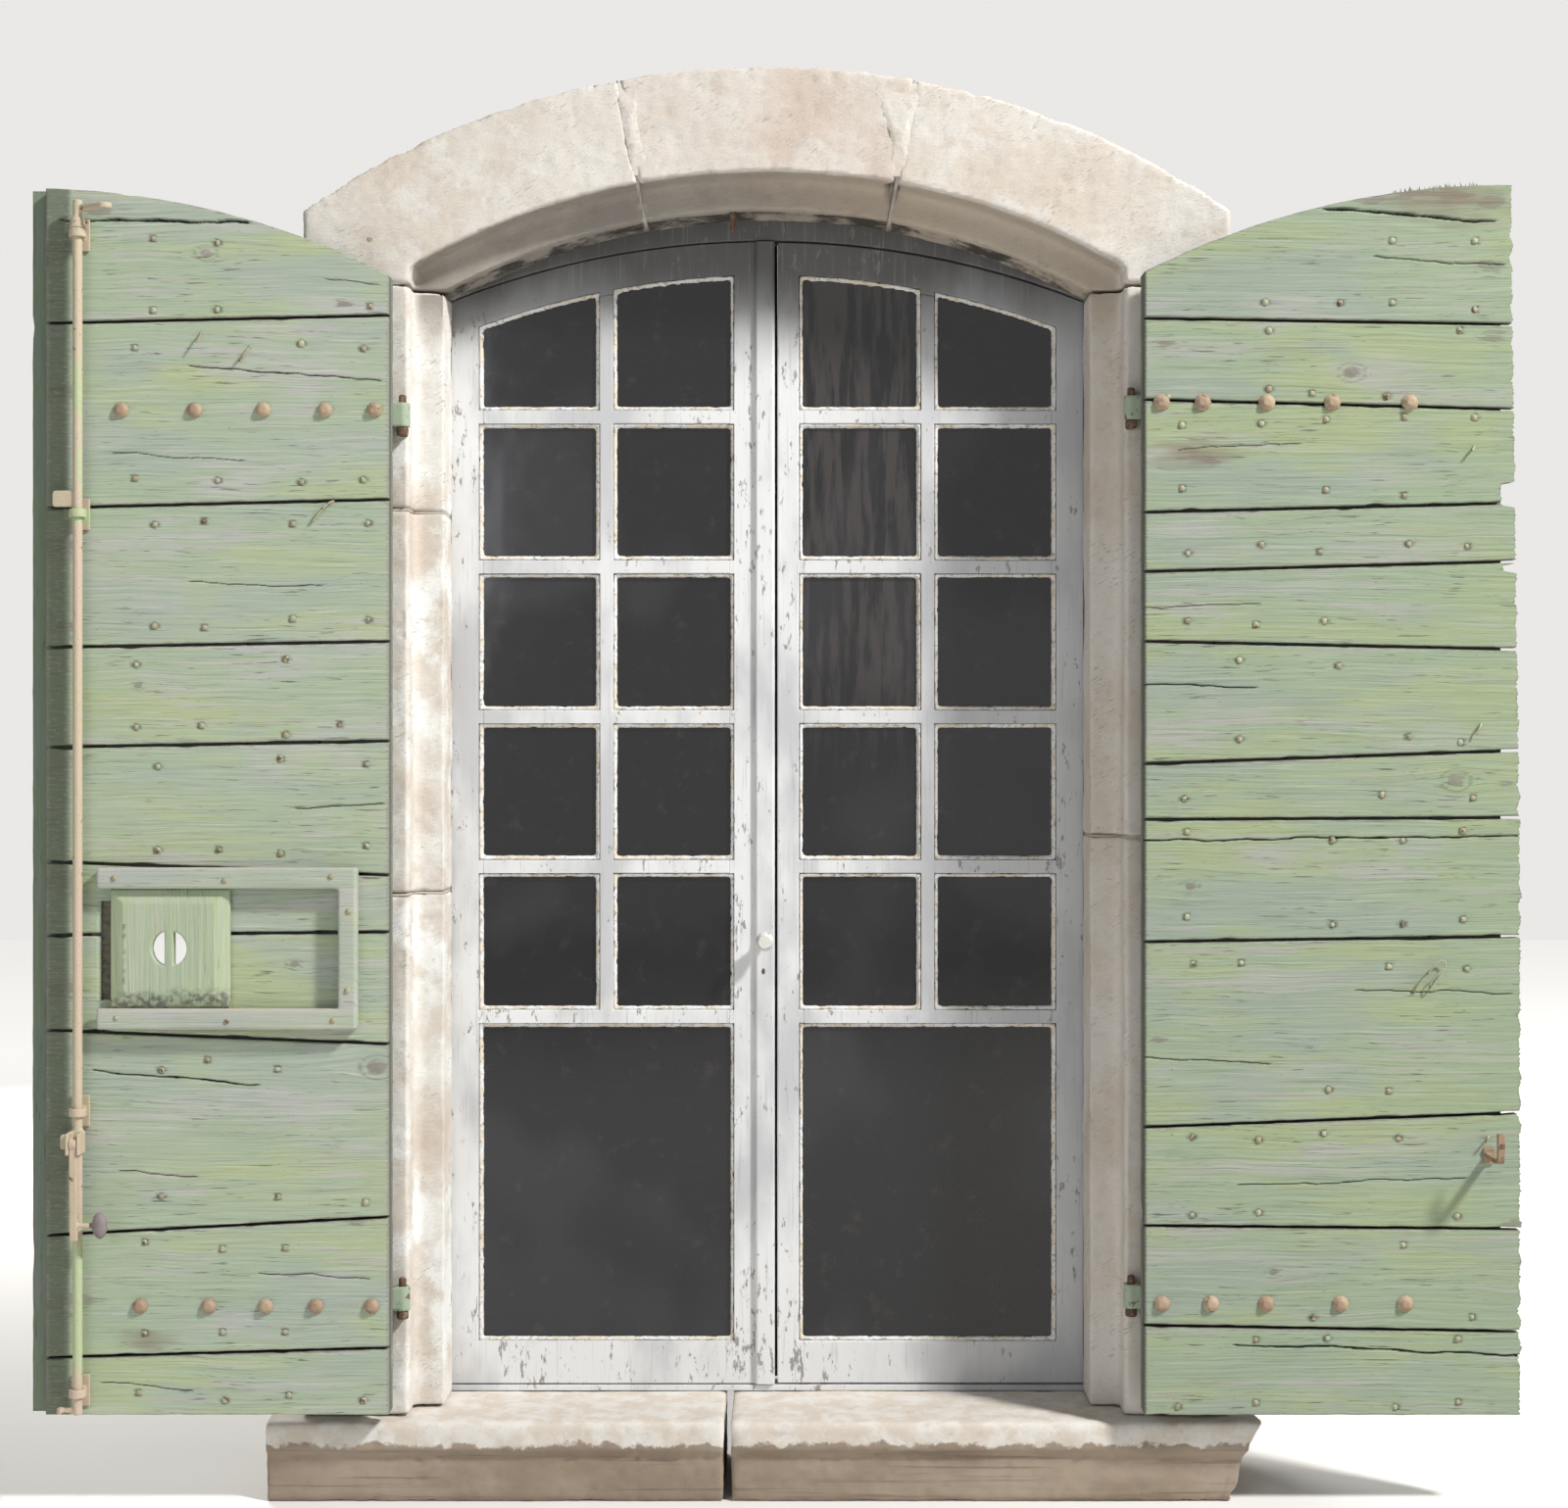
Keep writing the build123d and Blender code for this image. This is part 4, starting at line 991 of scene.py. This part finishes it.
def rod_along(name, body, points, thickness, finish):
    """A thin bent iron, such as a clinched nail or a wire, along its points."""
    line = bpy.data.curves.new(name, "CURVE")
    line.dimensions = "3D"
    line.bevel_depth = thickness / 2 * MM
    line.bevel_resolution = 2
    line.use_fill_caps = True
    spline = line.splines.new("NURBS")
    spline.points.add(len(points) - 1)
    for spot, point in zip(spline.points, points):
        spot.co = (*point, 1.0)
    spline.order_u = 3
    spline.use_endpoint_u = True
    holder = bpy.data.objects.new(name, line)
    scene.collection.objects.link(holder)
    bar = bmesh.new()
    bar.from_mesh(bpy.data.meshes.new_from_object(holder))
    bmesh.ops.remove_doubles(bar, verts=bar.verts, dist=0.02 * MM)
    bmesh.ops.recalc_face_normals(bar, faces=bar.faces)
    bpy.data.objects.remove(holder)
    keep(bar, name, body, finish, "rusty_iron")


def off_board(side, px, py, proud):
    """A point that stands proud of a leaf's inner face, in mm, at a pixel of the photograph."""
    return seen_at(px, py, (INNER_FACE[side] - proud) * MM)


# Nails and a wire that stick out: leaf, the bends by pixel and by how far they stand proud in
# mm, and the thickness
BENT_NAILS = {
    "bent_nail_top": (-1, ((205, 338, -6), (204, 341, 6), (203, 344, 11), (200, 350, 13)), 3.2),
    "bent_nail_second": (-1, ((256, 352, -6), (254, 354, 5), (250, 360, 9), (243, 369, 7)), 3.4),
    "clinched_nail": (-1, ((340, 512, -4), (335, 513, 4), (328, 520, 7), (318, 533, 2)), 4.6),
    "wire_loop": (1, ((1443, 1016, -4), (1444, 1010, 5), (1456, 996, 9), (1470, 979, 8),
                      (1478, 984, 7), (1468, 1000, 7), (1458, 1014, 6), (1462, 998, 10),
                      (1474, 990, 12)), 2.6),
    "bent_nail_right": (1, ((1512, 738, -6), (1512, 740, 6), (1510, 744, 9), (1507, 750, 6)), 3.4),
    "bent_nail_edge": (1, ((1505, 455, -6), (1505, 457, 7), (1503, 460, 10)), 4.0),
    "bent_nail_low": (1, ((1520, 1160, -4), (1519, 1163, 8), (1514, 1170, 9)), 3.0),
}
for name, (side, bends, thickness) in BENT_NAILS.items():
    rod_along(name, f"{LEAF[side]}_shutter",
              [off_board(side, px, py, proud) for px, py, proud in bends], thickness, NAIL_IRON)


# The left leaf has no nails under its rod, nor under its hatch
ROD_STRIP = 480.0
HATCH_FROM = 40.0
HATCH_LOW = 620.0
HATCH_HIGH = 900.0
HIGHEST_NAIL = 1960.0


def clear_of_irons(s, t):
    return s < ROD_STRIP and not (HATCH_LOW < t < HATCH_HIGH and HATCH_FROM < s)


for side in (-1, 1):
    gaps = []
    for number in range(1, BOARD_COUNT[side] + 1):
        length, foot, crown = board_edges(f"{LEAF[side]}_board_{number:02d}", side)
        gaps.append(((foot[0] + foot[1]) / 2, min((crown[0] + crown[1]) / 2, HIGHEST_NAIL)))
    spots = nail_places(side, gaps)
    if side < 0:
        spots = [spot for spot in spots if clear_of_irons(*spot)]
    inner_boards(side, spots)
    outer_boards(side)
    nail_heads(f"{LEAF[side]}_nails", side, spots)

BATTEN_DEPTH = 26.0
BATTEN_NAILS = ((120, 896), (232, 899), (340, 895), (122, 1038), (234, 1042), (342, 1041),
                (358, 930), (357, 1010))
nail_heads("batten_nails", -1, [on_board(-1, *spot) for spot in BATTEN_NAILS], BATTEN_DEPTH + 0.8)


def frayed_head(name, start, end, count, longest):
    """Splinters of weathered wood that stand up from the top of the right leaf."""
    rng = random.Random(9)
    fibres = bmesh.new()
    place = OnLeaf(1, INNER_FACE[1])
    s0 = on_board(1, start, 0)[0]
    s1 = on_board(1, end, 0)[0]
    for k in range(count):
        s = rng.uniform(s0, s1)
        tall = rng.uniform(0.3, 1.0) * longest
        made = bmesh.ops.create_cone(fibres, segments=5, radius1=rng.uniform(1.0, 2.4) * MM,
                                     radius2=0.2 * MM, depth=tall * MM, cap_ends=True)
        lean = Matrix.Rotation(rng.uniform(-0.35, 0.35), 4, "Y")
        foot = place(s, head_height(1, s) - 2.0 + 0.3 * tall, -rng.uniform(2.0, 20.0))
        bmesh.ops.transform(fibres, matrix=Matrix.Translation(foot) @ lean, verts=made["verts"])
    bare = fibres.verts.layers.float.new("bare")
    flow = fibres.verts.layers.float_vector.new("flow")
    for vert in fibres.verts:
        vert[bare] = 1.0
        vert[flow] = (vert.co.z, vert.co.x, 3.0)
    keep(fibres, name, "right_shutter", RIGHT_BOARDS, "green_paint")


frayed_head("frayed_head", 1424, 1512, 90, 13.0)


# Worn copies of the frame's own shapes
def skin_of(node, voxel):
    """One closed skin of small even faces over a node's solids."""
    bm = bmesh.new()
    bm.from_mesh(nodes[node].data)
    bmesh.ops.remove_doubles(bm, verts=bm.verts, dist=0.01 * MM)
    shell = bpy.data.objects.new("skin", bpy.data.meshes.new("skin"))
    bm.to_mesh(shell.data)
    bm.free()
    scene.collection.objects.link(shell)
    remesh = shell.modifiers.new("skin", "REMESH")
    remesh.mode = "VOXEL"
    remesh.voxel_size = voxel * MM
    skin = bmesh.new()
    skin.from_object(shell, bpy.context.evaluated_depsgraph_get())
    bpy.data.objects.remove(shell)
    return skin


def worn(node, voxel, relief, wear, rounds=4):
    """A copy of a node with its arrises worn back by wear(point) and its faces by relief."""
    bm = skin_of(node, voxel)
    cavity = bm.verts.layers.float.new("cavity")
    under = bm.verts.layers.float.new("under")
    bm.normal_update()
    sound = [(vert.co.copy(), vert.normal.copy()) for vert in bm.verts]
    for _ in range(rounds):
        bmesh.ops.smooth_vert(bm, verts=bm.verts, factor=0.5,
                              use_axis_x=True, use_axis_y=True, use_axis_z=True)
    for vert, (point, normal) in zip(bm.verts, sound):
        rise, dark = relief(point, normal)
        vert.co = point.lerp(vert.co, wear(point)) + normal * rise * MM
        vert[cavity] = dark
        # under marks the faces that turn down or aside; the stone's finish lays its painted shade
        # on them
        vert[under] = clamp(1.0 - 3.0 * max(normal.z, normal.y, abs(normal.x) - 0.6))
    return bm


def rough(point, scale, octaves=3):
    """Noise of several sizes at once."""
    return noise.fractal(point * scale, 0.9, 2.0, octaves)


SOFFIT_HOLE = Vector((0.2095, 0.040, 2.186))
HOLE_SIZE = Vector((0.009, 0.020, 0.016))
ARCH_FROM = 2.0
CROWN_LOSS = 7.0


def stone_relief(point, normal):
    """Rise of a stone's face in mm and how dark its hollows are."""
    rise = 1.5 * rough(point, 9.0) + 0.8 * rough(point, 50.0) - 1.3
    pit = clamp(-rough(point + Vector((3, 1, 2)), 70.0, 2) * 3.2 - 1.25)
    dark = 0.1 * pit
    rise -= 1.6 * pit
    if point.z > ARCH_FROM and normal.z > 0.5:
        rise -= CROWN_LOSS * clamp(rough(point, 24.0) * 1.6)
    # The hole in the soffit is sunk and darkened: painted shade in the hole
    away = point - SOFFIT_HOLE
    hole = clamp(1.6 - math.hypot(*(gap / size for gap, size in zip(away, HOLE_SIZE))))
    return rise - 7.0 * hole, max(dark, hole)


def stone_wear(point):
    return clamp(0.55 + 1.3 * rough(point, 12.0))


def iron_relief(point, normal):
    return 0.22 * rough(point, 90.0) - 0.12, 0.0


STONES = {
    "left_jamb_stone_1": WHITE_JAMB, "left_jamb_stone_2": WHITE_JAMB,
    "left_jamb_stone_3": WHITE_JAMB, "right_jamb_stone_1": CREAM_JAMB,
    "right_jamb_stone_2": CREAM_JAMB, "left_arch_stone": VOUSSOIR_STONE,
    "right_arch_stone": VOUSSOIR_STONE, "keystone": KEY_STONE,
    "sill_stone_left": SILL_STONE, "sill_stone_right": SILL_STONE,
}
SILL_END = 0.830
SILL_TOP = 0.136
BREAK_REACH = 0.14


def break_off(stone):
    """The sill's right end: broken away, more so towards its foot."""
    for vert in stone.verts:
        near = clamp((vert.co.x - SILL_END + BREAK_REACH) / BREAK_REACH)
        lost = 55 * clamp(1.05 - vert.co.z / SILL_TOP) ** 0.8 + 7 * rough(vert.co, 30.0) + 6
        vert.co.x -= near**2 * max(lost, 0.0) * MM


for node, finish in STONES.items():
    stone = worn(node, 6.0, stone_relief, stone_wear)
    if node == "sill_stone_right":
        break_off(stone)
    keep(stone, f"worn_{node}", "surround", finish, "limestone", node)


def along(line, share):
    """The point of a line of pixels at a share of the way along it."""
    step = min(int(share * (len(line) - 1)), len(line) - 2)
    part = share * (len(line) - 1) - step
    (x0, y0), (x1, y1) = line[step], line[step + 1]
    return x0 + (x1 - x0) * part, y0 + (y1 - y0) * part


MORTAR_ROOT = 3.0
MORTAR_REACH = 6.0
MORTAR_SLOPE = 13.0
MORTAR_END = 40.0


def mortar(name, left, right, proud, cracked, seed):
    """A patch of mortar over a joint, between two lines of pixels.

    proud is how far it stands out of the stone in mm, and cracked how dark the open crack is
    along its left edge and its right one.
    """
    patch = bmesh.new()
    cavity = patch.verts.layers.float.new("cavity")
    bmesh.ops.create_grid(patch, x_segments=22, y_segments=80, size=1.0)
    for vert in patch.verts:
        u, v = (vert.co.x + 1) / 2, (vert.co.y + 1) / 2
        (x0, y0), (x1, y1) = along(left, v), along(right, v)
        width = (x1 - x0) * MM_PER_PIXEL
        u = 0.5 - 0.5 * math.cos(math.pi * u)
        spot = seen_at(x0 + (x1 - x0) * u, y0 + (y1 - y0) * u, 0.0)
        ragged = Vector((spot.x, seed, spot.z))
        gap = min(u * width, (1 - u) * width, v * MORTAR_END, (1 - v) * MORTAR_END)
        spot.x += 3.2 * MM * rough(ragged, 34.0)
        rise = (proud + MORTAR_ROOT) * clamp(gap / MORTAR_SLOPE) ** 0.7
        rise += 0.8 * rough(ragged, 60.0) * clamp(gap / 6)
        spot.y -= (rise - MORTAR_ROOT) * MM
        vert.co = spot
        dark = cracked[0] if u < 0.5 else cracked[1]
        vert[cavity] = dark * clamp(2.4 - min(u, 1 - u) * width / 1.7)

    def set_back(vert):
        vert.co.y = MORTAR_REACH * MM
        vert[cavity] = 1.0

    close_sheet(patch, set_back)
    keep(patch, name, "surround", VOUSSOIR_STONE, "limestone")


mortar("mortar_left_joint", ((626, 84), (632, 118), (638, 150), (644, 179)),
       ((652, 84), (652, 116), (657, 146), (668, 178)), 0.5, (0.8, 0.2), 1.0)
mortar("mortar_right_joint", ((884, 84), (896, 104), (902, 126), (908, 142), (909, 180)),
       ((942, 85), (938, 106), (932, 128), (928, 150), (925, 180)), 0.4, (0.8, 0.1), 3.0)


JOINT_INSET = 3.0 * MM
JOINT_OVERLAP = 2.0 * MM
ARCH_JOINT = 3.0 * MM
KEYSTONE_SIDES = {"left": (-0.984, 0, -0.179), "right": (0.984, 0, -0.179)}


def joint_mortar(name, node, outward, gap):
    """The mortar in a joint, on the side of a stone that faces outward, set a little back."""
    outward = Vector(outward).normalized()
    bed = bmesh.new()
    cavity = bed.verts.layers.float.new("cavity")
    bed.from_mesh(nodes[node].data)
    bmesh.ops.remove_doubles(bed, verts=bed.verts, dist=0.01 * MM)
    bed.normal_update()
    rest = [face for face in bed.faces if face.normal.dot(outward) < 0.98]
    bmesh.ops.delete(bed, geom=rest, context="FACES")
    rim = bmesh.ops.inset_region(bed, faces=bed.faces[:], thickness=JOINT_INSET,
                                 use_boundary=True, use_even_offset=True)
    bmesh.ops.delete(bed, geom=rim["faces"], context="FACES")
    for vert in bed.verts:
        vert.co -= JOINT_OVERLAP * outward
        vert[cavity] = 0.3
    raised = bmesh.ops.extrude_face_region(bed, geom=bed.faces[:])["geom"]
    for vert in (g for g in raised if isinstance(g, bmesh.types.BMVert)):
        vert.co += (gap + 2 * JOINT_OVERLAP) * outward
    bmesh.ops.recalc_face_normals(bed, faces=bed.faces)
    keep(bed, name, "surround", CREAM_JAMB, "limestone")


for below, above in (("left_jamb_stone_1", "left_jamb_stone_2"),
                     ("left_jamb_stone_2", "left_jamb_stone_3"),
                     ("right_jamb_stone_1", "right_jamb_stone_2")):
    joint_mortar(f"bed_mortar_{above}", below, (0, 0, 1),
                 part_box(above)[0].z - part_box(below)[1].z)
for side, outward in KEYSTONE_SIDES.items():
    joint_mortar(f"arch_mortar_{side}", "keystone", outward, ARCH_JOINT)


# The irons: body, finish, and the size of the faces of their worn skins in mm
IRONS = {
    "left_pintles": ("surround", PINTLE_IRON, 2.0),
    "right_pintles": ("surround", PINTLE_IRON, 2.0),
    "hook_keeper": ("surround", PINTLE_IRON, 1.5),
    "left_straps": ("left_shutter", HINGE_IRON, 2.0),
    "right_straps": ("right_shutter", HINGE_IRON, 2.0),
    "left_strap_bolts": ("left_shutter", BOLT_IRON, 1.3),
    "right_strap_bolts": ("right_shutter", BOLT_IRON, 1.3),
    "rod_guides": ("left_shutter", ROD_IRON, 1.3),
    "espagnolette_rod": ("espagnolette", ROD_IRON, 1.9),
    "espagnolette_handle": ("handle", HANDLE_IRON, 1.2),
    "handle_catch": ("right_shutter", CATCH_IRON, 1.2),
}
for node, (body, finish, voxel) in IRONS.items():
    keep(worn(node, voxel, iron_relief, lambda p: 0.8, 2), f"forged_{node}", body, finish,
         "painted_iron", node)


KNOB_HALF = (12.5, 11.0, 21.5)
KNOB_OUT = 12.0
KNOB_UP = 26.0
STEM_RADIUS = 4.2
STEM_LENGTH = 12.0


def handle_knob():
    """The handle's worn oval knob, at the end of the short stem that stands off its bar."""
    bar_low, bar_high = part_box("espagnolette_handle")
    middle = Vector((bar_high.x + KNOB_OUT * MM, (bar_low.y + bar_high.y) / 2,
                     bar_low.z + KNOB_UP * MM))
    knob = bmesh.new()
    bmesh.ops.create_uvsphere(knob, u_segments=48, v_segments=32, radius=1.0)
    for vert in knob.verts:
        x, y, z = vert.co
        waist = 1.0 - 0.10 * math.exp(-(z / 0.16) ** 2)
        swell = Vector((x * waist, y * waist, z)) * Vector(KNOB_HALF)
        vert.co = middle + swell * MM
        vert.co += Vector((x, y, z)) * 0.5 * MM * rough(vert.co, 60.0)
    stem = bmesh.ops.create_cone(knob, segments=20, radius1=STEM_RADIUS * MM,
                                 radius2=STEM_RADIUS * MM, depth=STEM_LENGTH * MM, cap_ends=True)
    turned = Matrix.Rotation(math.pi / 2, 4, "Y")
    at = Matrix.Translation(middle - Vector((10 * MM, 0, 0)))
    bmesh.ops.transform(knob, matrix=at @ turned, verts=stem["verts"])
    keep(knob, "handle_knob", "handle", KNOB_IRON, "painted_iron")


handle_knob()


def along_grain(bm, upright, seed):
    """Marks a worn wooden copy with its grain, and gives it a little relief."""
    flow = bm.verts.layers.float_vector.new("flow")
    bm.normal_update()
    for vert in bm.verts:
        s, t = (vert.co.z, vert.co.x) if upright else (vert.co.x, vert.co.z)
        line = t + 0.3 * vert.co.y + 3 * MM * ripple(s * 4, t * 9, seed)
        vert[flow] = (s, line, seed)
        vert.co += vert.normal * 0.35 * MM * ripple(s * 5, line * 240, seed)
    return bm


def mark(bm, name, how_much):
    """Marks each point of a worn copy with how bare or rotten it is."""
    layer = bm.verts.layers.float.new(name)
    for vert in bm.verts:
        vert[layer] = how_much(vert.co, vert.normal)


def no_relief(point, normal):
    return 0.0, 0.0


def worn_batten_edges(point, normal):
    """The battens' upward edges have weathered most."""
    return clamp(0.9 * normal.z + 0.3 * rough(point, 20.0))


panel_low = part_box("hatch_panel")[0]


def rotten_panel_foot(point, normal):
    """Grey rot gathers along the panel's foot and down the slope on its left."""
    mottled = 0.5 + 1.3 * rough(point, 110.0)
    up = (point.z - panel_low.z) / MM - 14.0 * rough(Vector((point.x, 0, 3)), 16.0)
    foot = clamp(1.3 - abs(up - 22.0) / 16.0)
    side = clamp(1.0 - abs((point.x - panel_low.x) / MM - 25.0) / 5.0) * (up < 150)
    return 0.9 * clamp(max(foot, 0.7 * side) * mottled)


battens = along_grain(worn("hatch_battens", 2.4, no_relief, lambda p: 0.7), False, 7.0)
mark(battens, "bare", worn_batten_edges)
keep(battens, "worn_hatch_battens", "left_shutter", BATTEN_PAINT, "green_paint", "hatch_battens")
panel = along_grain(worn("hatch_panel", 1.6, no_relief, lambda p: 0.6), True, 11.0)
mark(panel, "stain", rotten_panel_foot)
keep(panel, "worn_hatch_panel", "hatch", PANEL_PAINT, "green_paint", "hatch_panel")


ROT_REACH = 38.0
ROT_WIDTH = 55.0
ROT_BACK = 22.0


def rotten_edge():
    """The rotten end of the boards, which shows beside the peep opening's panel."""
    strip = bmesh.new()
    bmesh.ops.create_grid(strip, x_segments=22, y_segments=70, size=1.0)
    bare = strip.verts.layers.float.new("bare")
    stain = strip.verts.layers.float.new("stain")
    flow = strip.verts.layers.float_vector.new("flow")
    place = OnLeaf(-1, INNER_FACE[-1])
    for vert in strip.verts:
        s = PEEP[1] - ROT_REACH + ROT_WIDTH * (vert.co.x + 1) / 2
        t = PEEP[2] - 1.0 + (PEEP[3] - PEEP[2] + 2.0) * (vert.co.y + 1) / 2
        deep = 9.0 + 5.0 * ripple(s * 0.05, t * 0.11, 5.0) + 3.0 * ripple(s * 0.2, t * 0.4, 6.0)
        vert.co = place(s, t, -deep)
        vert[bare] = 1.0
        vert[stain] = 0.55 + 0.4 * ripple(s * 0.04, t * 0.06, 8.0)
        vert[flow] = (s * MM, t * MM, 4.0)

    def set_back(vert):
        vert.co.y = (INNER_FACE[-1] + ROT_BACK) * MM

    close_sheet(strip, set_back)
    keep(strip, "rotten_edge", "left_shutter", ROTTEN_WOOD, "green_paint")


rotten_edge()


# The window
def dress(node, finish, soften=1.0):
    """A node of the frame that keeps its shape: its arrises softened, and its finish."""
    piece = nodes[node]
    piece.data.materials.clear()
    piece.data.materials.append(finish)
    weld = piece.modifiers.new("weld", "WELD")
    weld.merge_threshold = 0.01 * MM
    bevel = piece.modifiers.new("arrises", "BEVEL")
    bevel.width = soften * MM
    bevel.segments = 2
    bevel.limit_method = "ANGLE"
    bevel.angle_limit = math.radians(35)


for node in ("window_frame", "left_casement_sash", "left_casement_bars",
             "right_casement_sash", "right_casement_bars"):
    dress(node, WINDOW_PAINT, 1.8)
for node in ("left_casement_panes", "right_casement_panes"):
    dress(node, GLASS, 0.4)
for node in ("frame_hinges", "left_casement_hinges", "right_casement_hinges", "window_knob"):
    dress(node, WHITE_IRON, 0.6)


def putty_relief(point, normal):
    crumb = clamp(rough(point, 70.0) * 2.2 - 0.5)
    return 0.6 * rough(point, 60.0) - 1.6 * crumb, crumb


for side in ("left", "right"):
    node = f"{side}_casement_putty"
    keep(worn(node, 3.0, putty_relief, lambda p: 0.6, 2), f"worn_{node}", f"{side}_casement",
         PUTTY, "putty", node)


def block(name, body, low, high, finish, slot):
    """A plain bar between two corners, its arrises softened."""
    bar = bmesh.new()
    bmesh.ops.create_cube(bar, size=1.0)
    for vert in bar.verts:
        vert.co = Vector(low).lerp(Vector(high), 0.5) + vert.co * (Vector(high) - Vector(low))
    bmesh.ops.bevel(bar, geom=bar.edges[:], offset=0.5 * MM, segments=2, affect="EDGES",
                    profile=0.5, material=-1)
    keep(bar, name, body, finish, slot)


FELT = Finish("felt")
felt_fibres = FELT.cloud(FELT.place(), 900, 4, 0.7)
FELT.done(FELT.over(FELT_BLACK, FELT.step(felt_fibres, 0.4, 0.6), 1.0, FELT_GREY), 0.95,
          FELT.bump(felt_fibres, 0.4, 0.4 * MM))
sash_low, sash_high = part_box("left_casement_sash")
STRIP_SIDES = (0.0125, 0.0171)
STRIP_FACES = (0.202, 0.206)
block("draught_strip", "left_casement",
      (STRIP_SIDES[0], STRIP_FACES[0], sash_low.z + 2 * MM),
      (STRIP_SIDES[1], STRIP_FACES[1], sash_high.z + 2.4 * MM), FELT.material, "putty")

KEYHOLE_AT = (779, 992)
KEYHOLE_HALF = Vector((3.0, 1.2, 5.5)) * MM
keyhole = bmesh.new()
bmesh.ops.create_uvsphere(keyhole, u_segments=16, v_segments=8, radius=1.0)
for vert in keyhole.verts:
    vert.co = seen_at(*KEYHOLE_AT, sash_low.y) + vert.co * KEYHOLE_HALF
keep(keyhole, "keyhole", "left_casement", PINTLE_IRON, "painted_iron")

# Floor and daylight of the studio
DAYLIGHT = (1.0, 0.99, 0.97)
DAYLIGHT_FILL = 0.20
BACKDROP_WHITE = 0.82
FLOOR_REACH = 12.0

floor = bpy.data.objects.new("floor", bpy.data.meshes.new("floor"))
bm = bmesh.new()
bmesh.ops.create_grid(bm, x_segments=1, y_segments=1, size=FLOOR_REACH)
bm.to_mesh(floor.data)
bm.free()
pale = Finish("pale_floor")
away = pale.add("ShaderNodeVectorMath")
away.operation = "LENGTH"
pale.feed(away.inputs[0], pale.place())
lift = pale.times(pale.step(away.outputs["Value"], 1.2, 7.0), 0.56)
looked_at = pale.add("ShaderNodeLightPath").outputs["Is Camera Ray"]
pale.feed(pale.shader.inputs["Emission Color"], DAYLIGHT)
pale.feed(pale.shader.inputs["Emission Strength"], pale.times(lift, looked_at))
floor.data.materials.append(pale.done(
    pale.over(FLOOR_PALE, pale.cloud(pale.place(), 0.7), 0.2, FLOOR_SHADE), 0.9,
    pale.bump(pale.cloud(pale.place(), 90), 0.05, 1.0 * MM)))
scene.collection.objects.link(floor)

world = bpy.data.worlds.new("studio")
world.use_nodes = True
scene.world = world
links = world.node_tree.links
sky = world.node_tree.nodes["Background"]
ray = world.node_tree.nodes.new("ShaderNodeLightPath")


def either(first, second):
    """1 where either of two kinds of ray looks at the daylight."""
    made = world.node_tree.nodes.new("ShaderNodeMath")
    made.operation = "MAXIMUM"
    links.new(first, made.inputs[0])
    links.new(second, made.inputs[1])
    return made.outputs["Value"]


mirrored = either(ray.outputs["Is Glossy Ray"], ray.outputs["Is Transmission Ray"])
strength = world.node_tree.nodes.new("ShaderNodeMapRange")
links.new(either(ray.outputs["Is Camera Ray"], mirrored), strength.inputs["Value"])
strength.inputs["To Min"].default_value = DAYLIGHT_FILL
strength.inputs["To Max"].default_value = BACKDROP_WHITE
links.new(strength.outputs["Result"], sky.inputs["Strength"])
sky.inputs["Color"].default_value = (*DAYLIGHT, 1.0)
scene.view_settings.view_transform = "Standard"
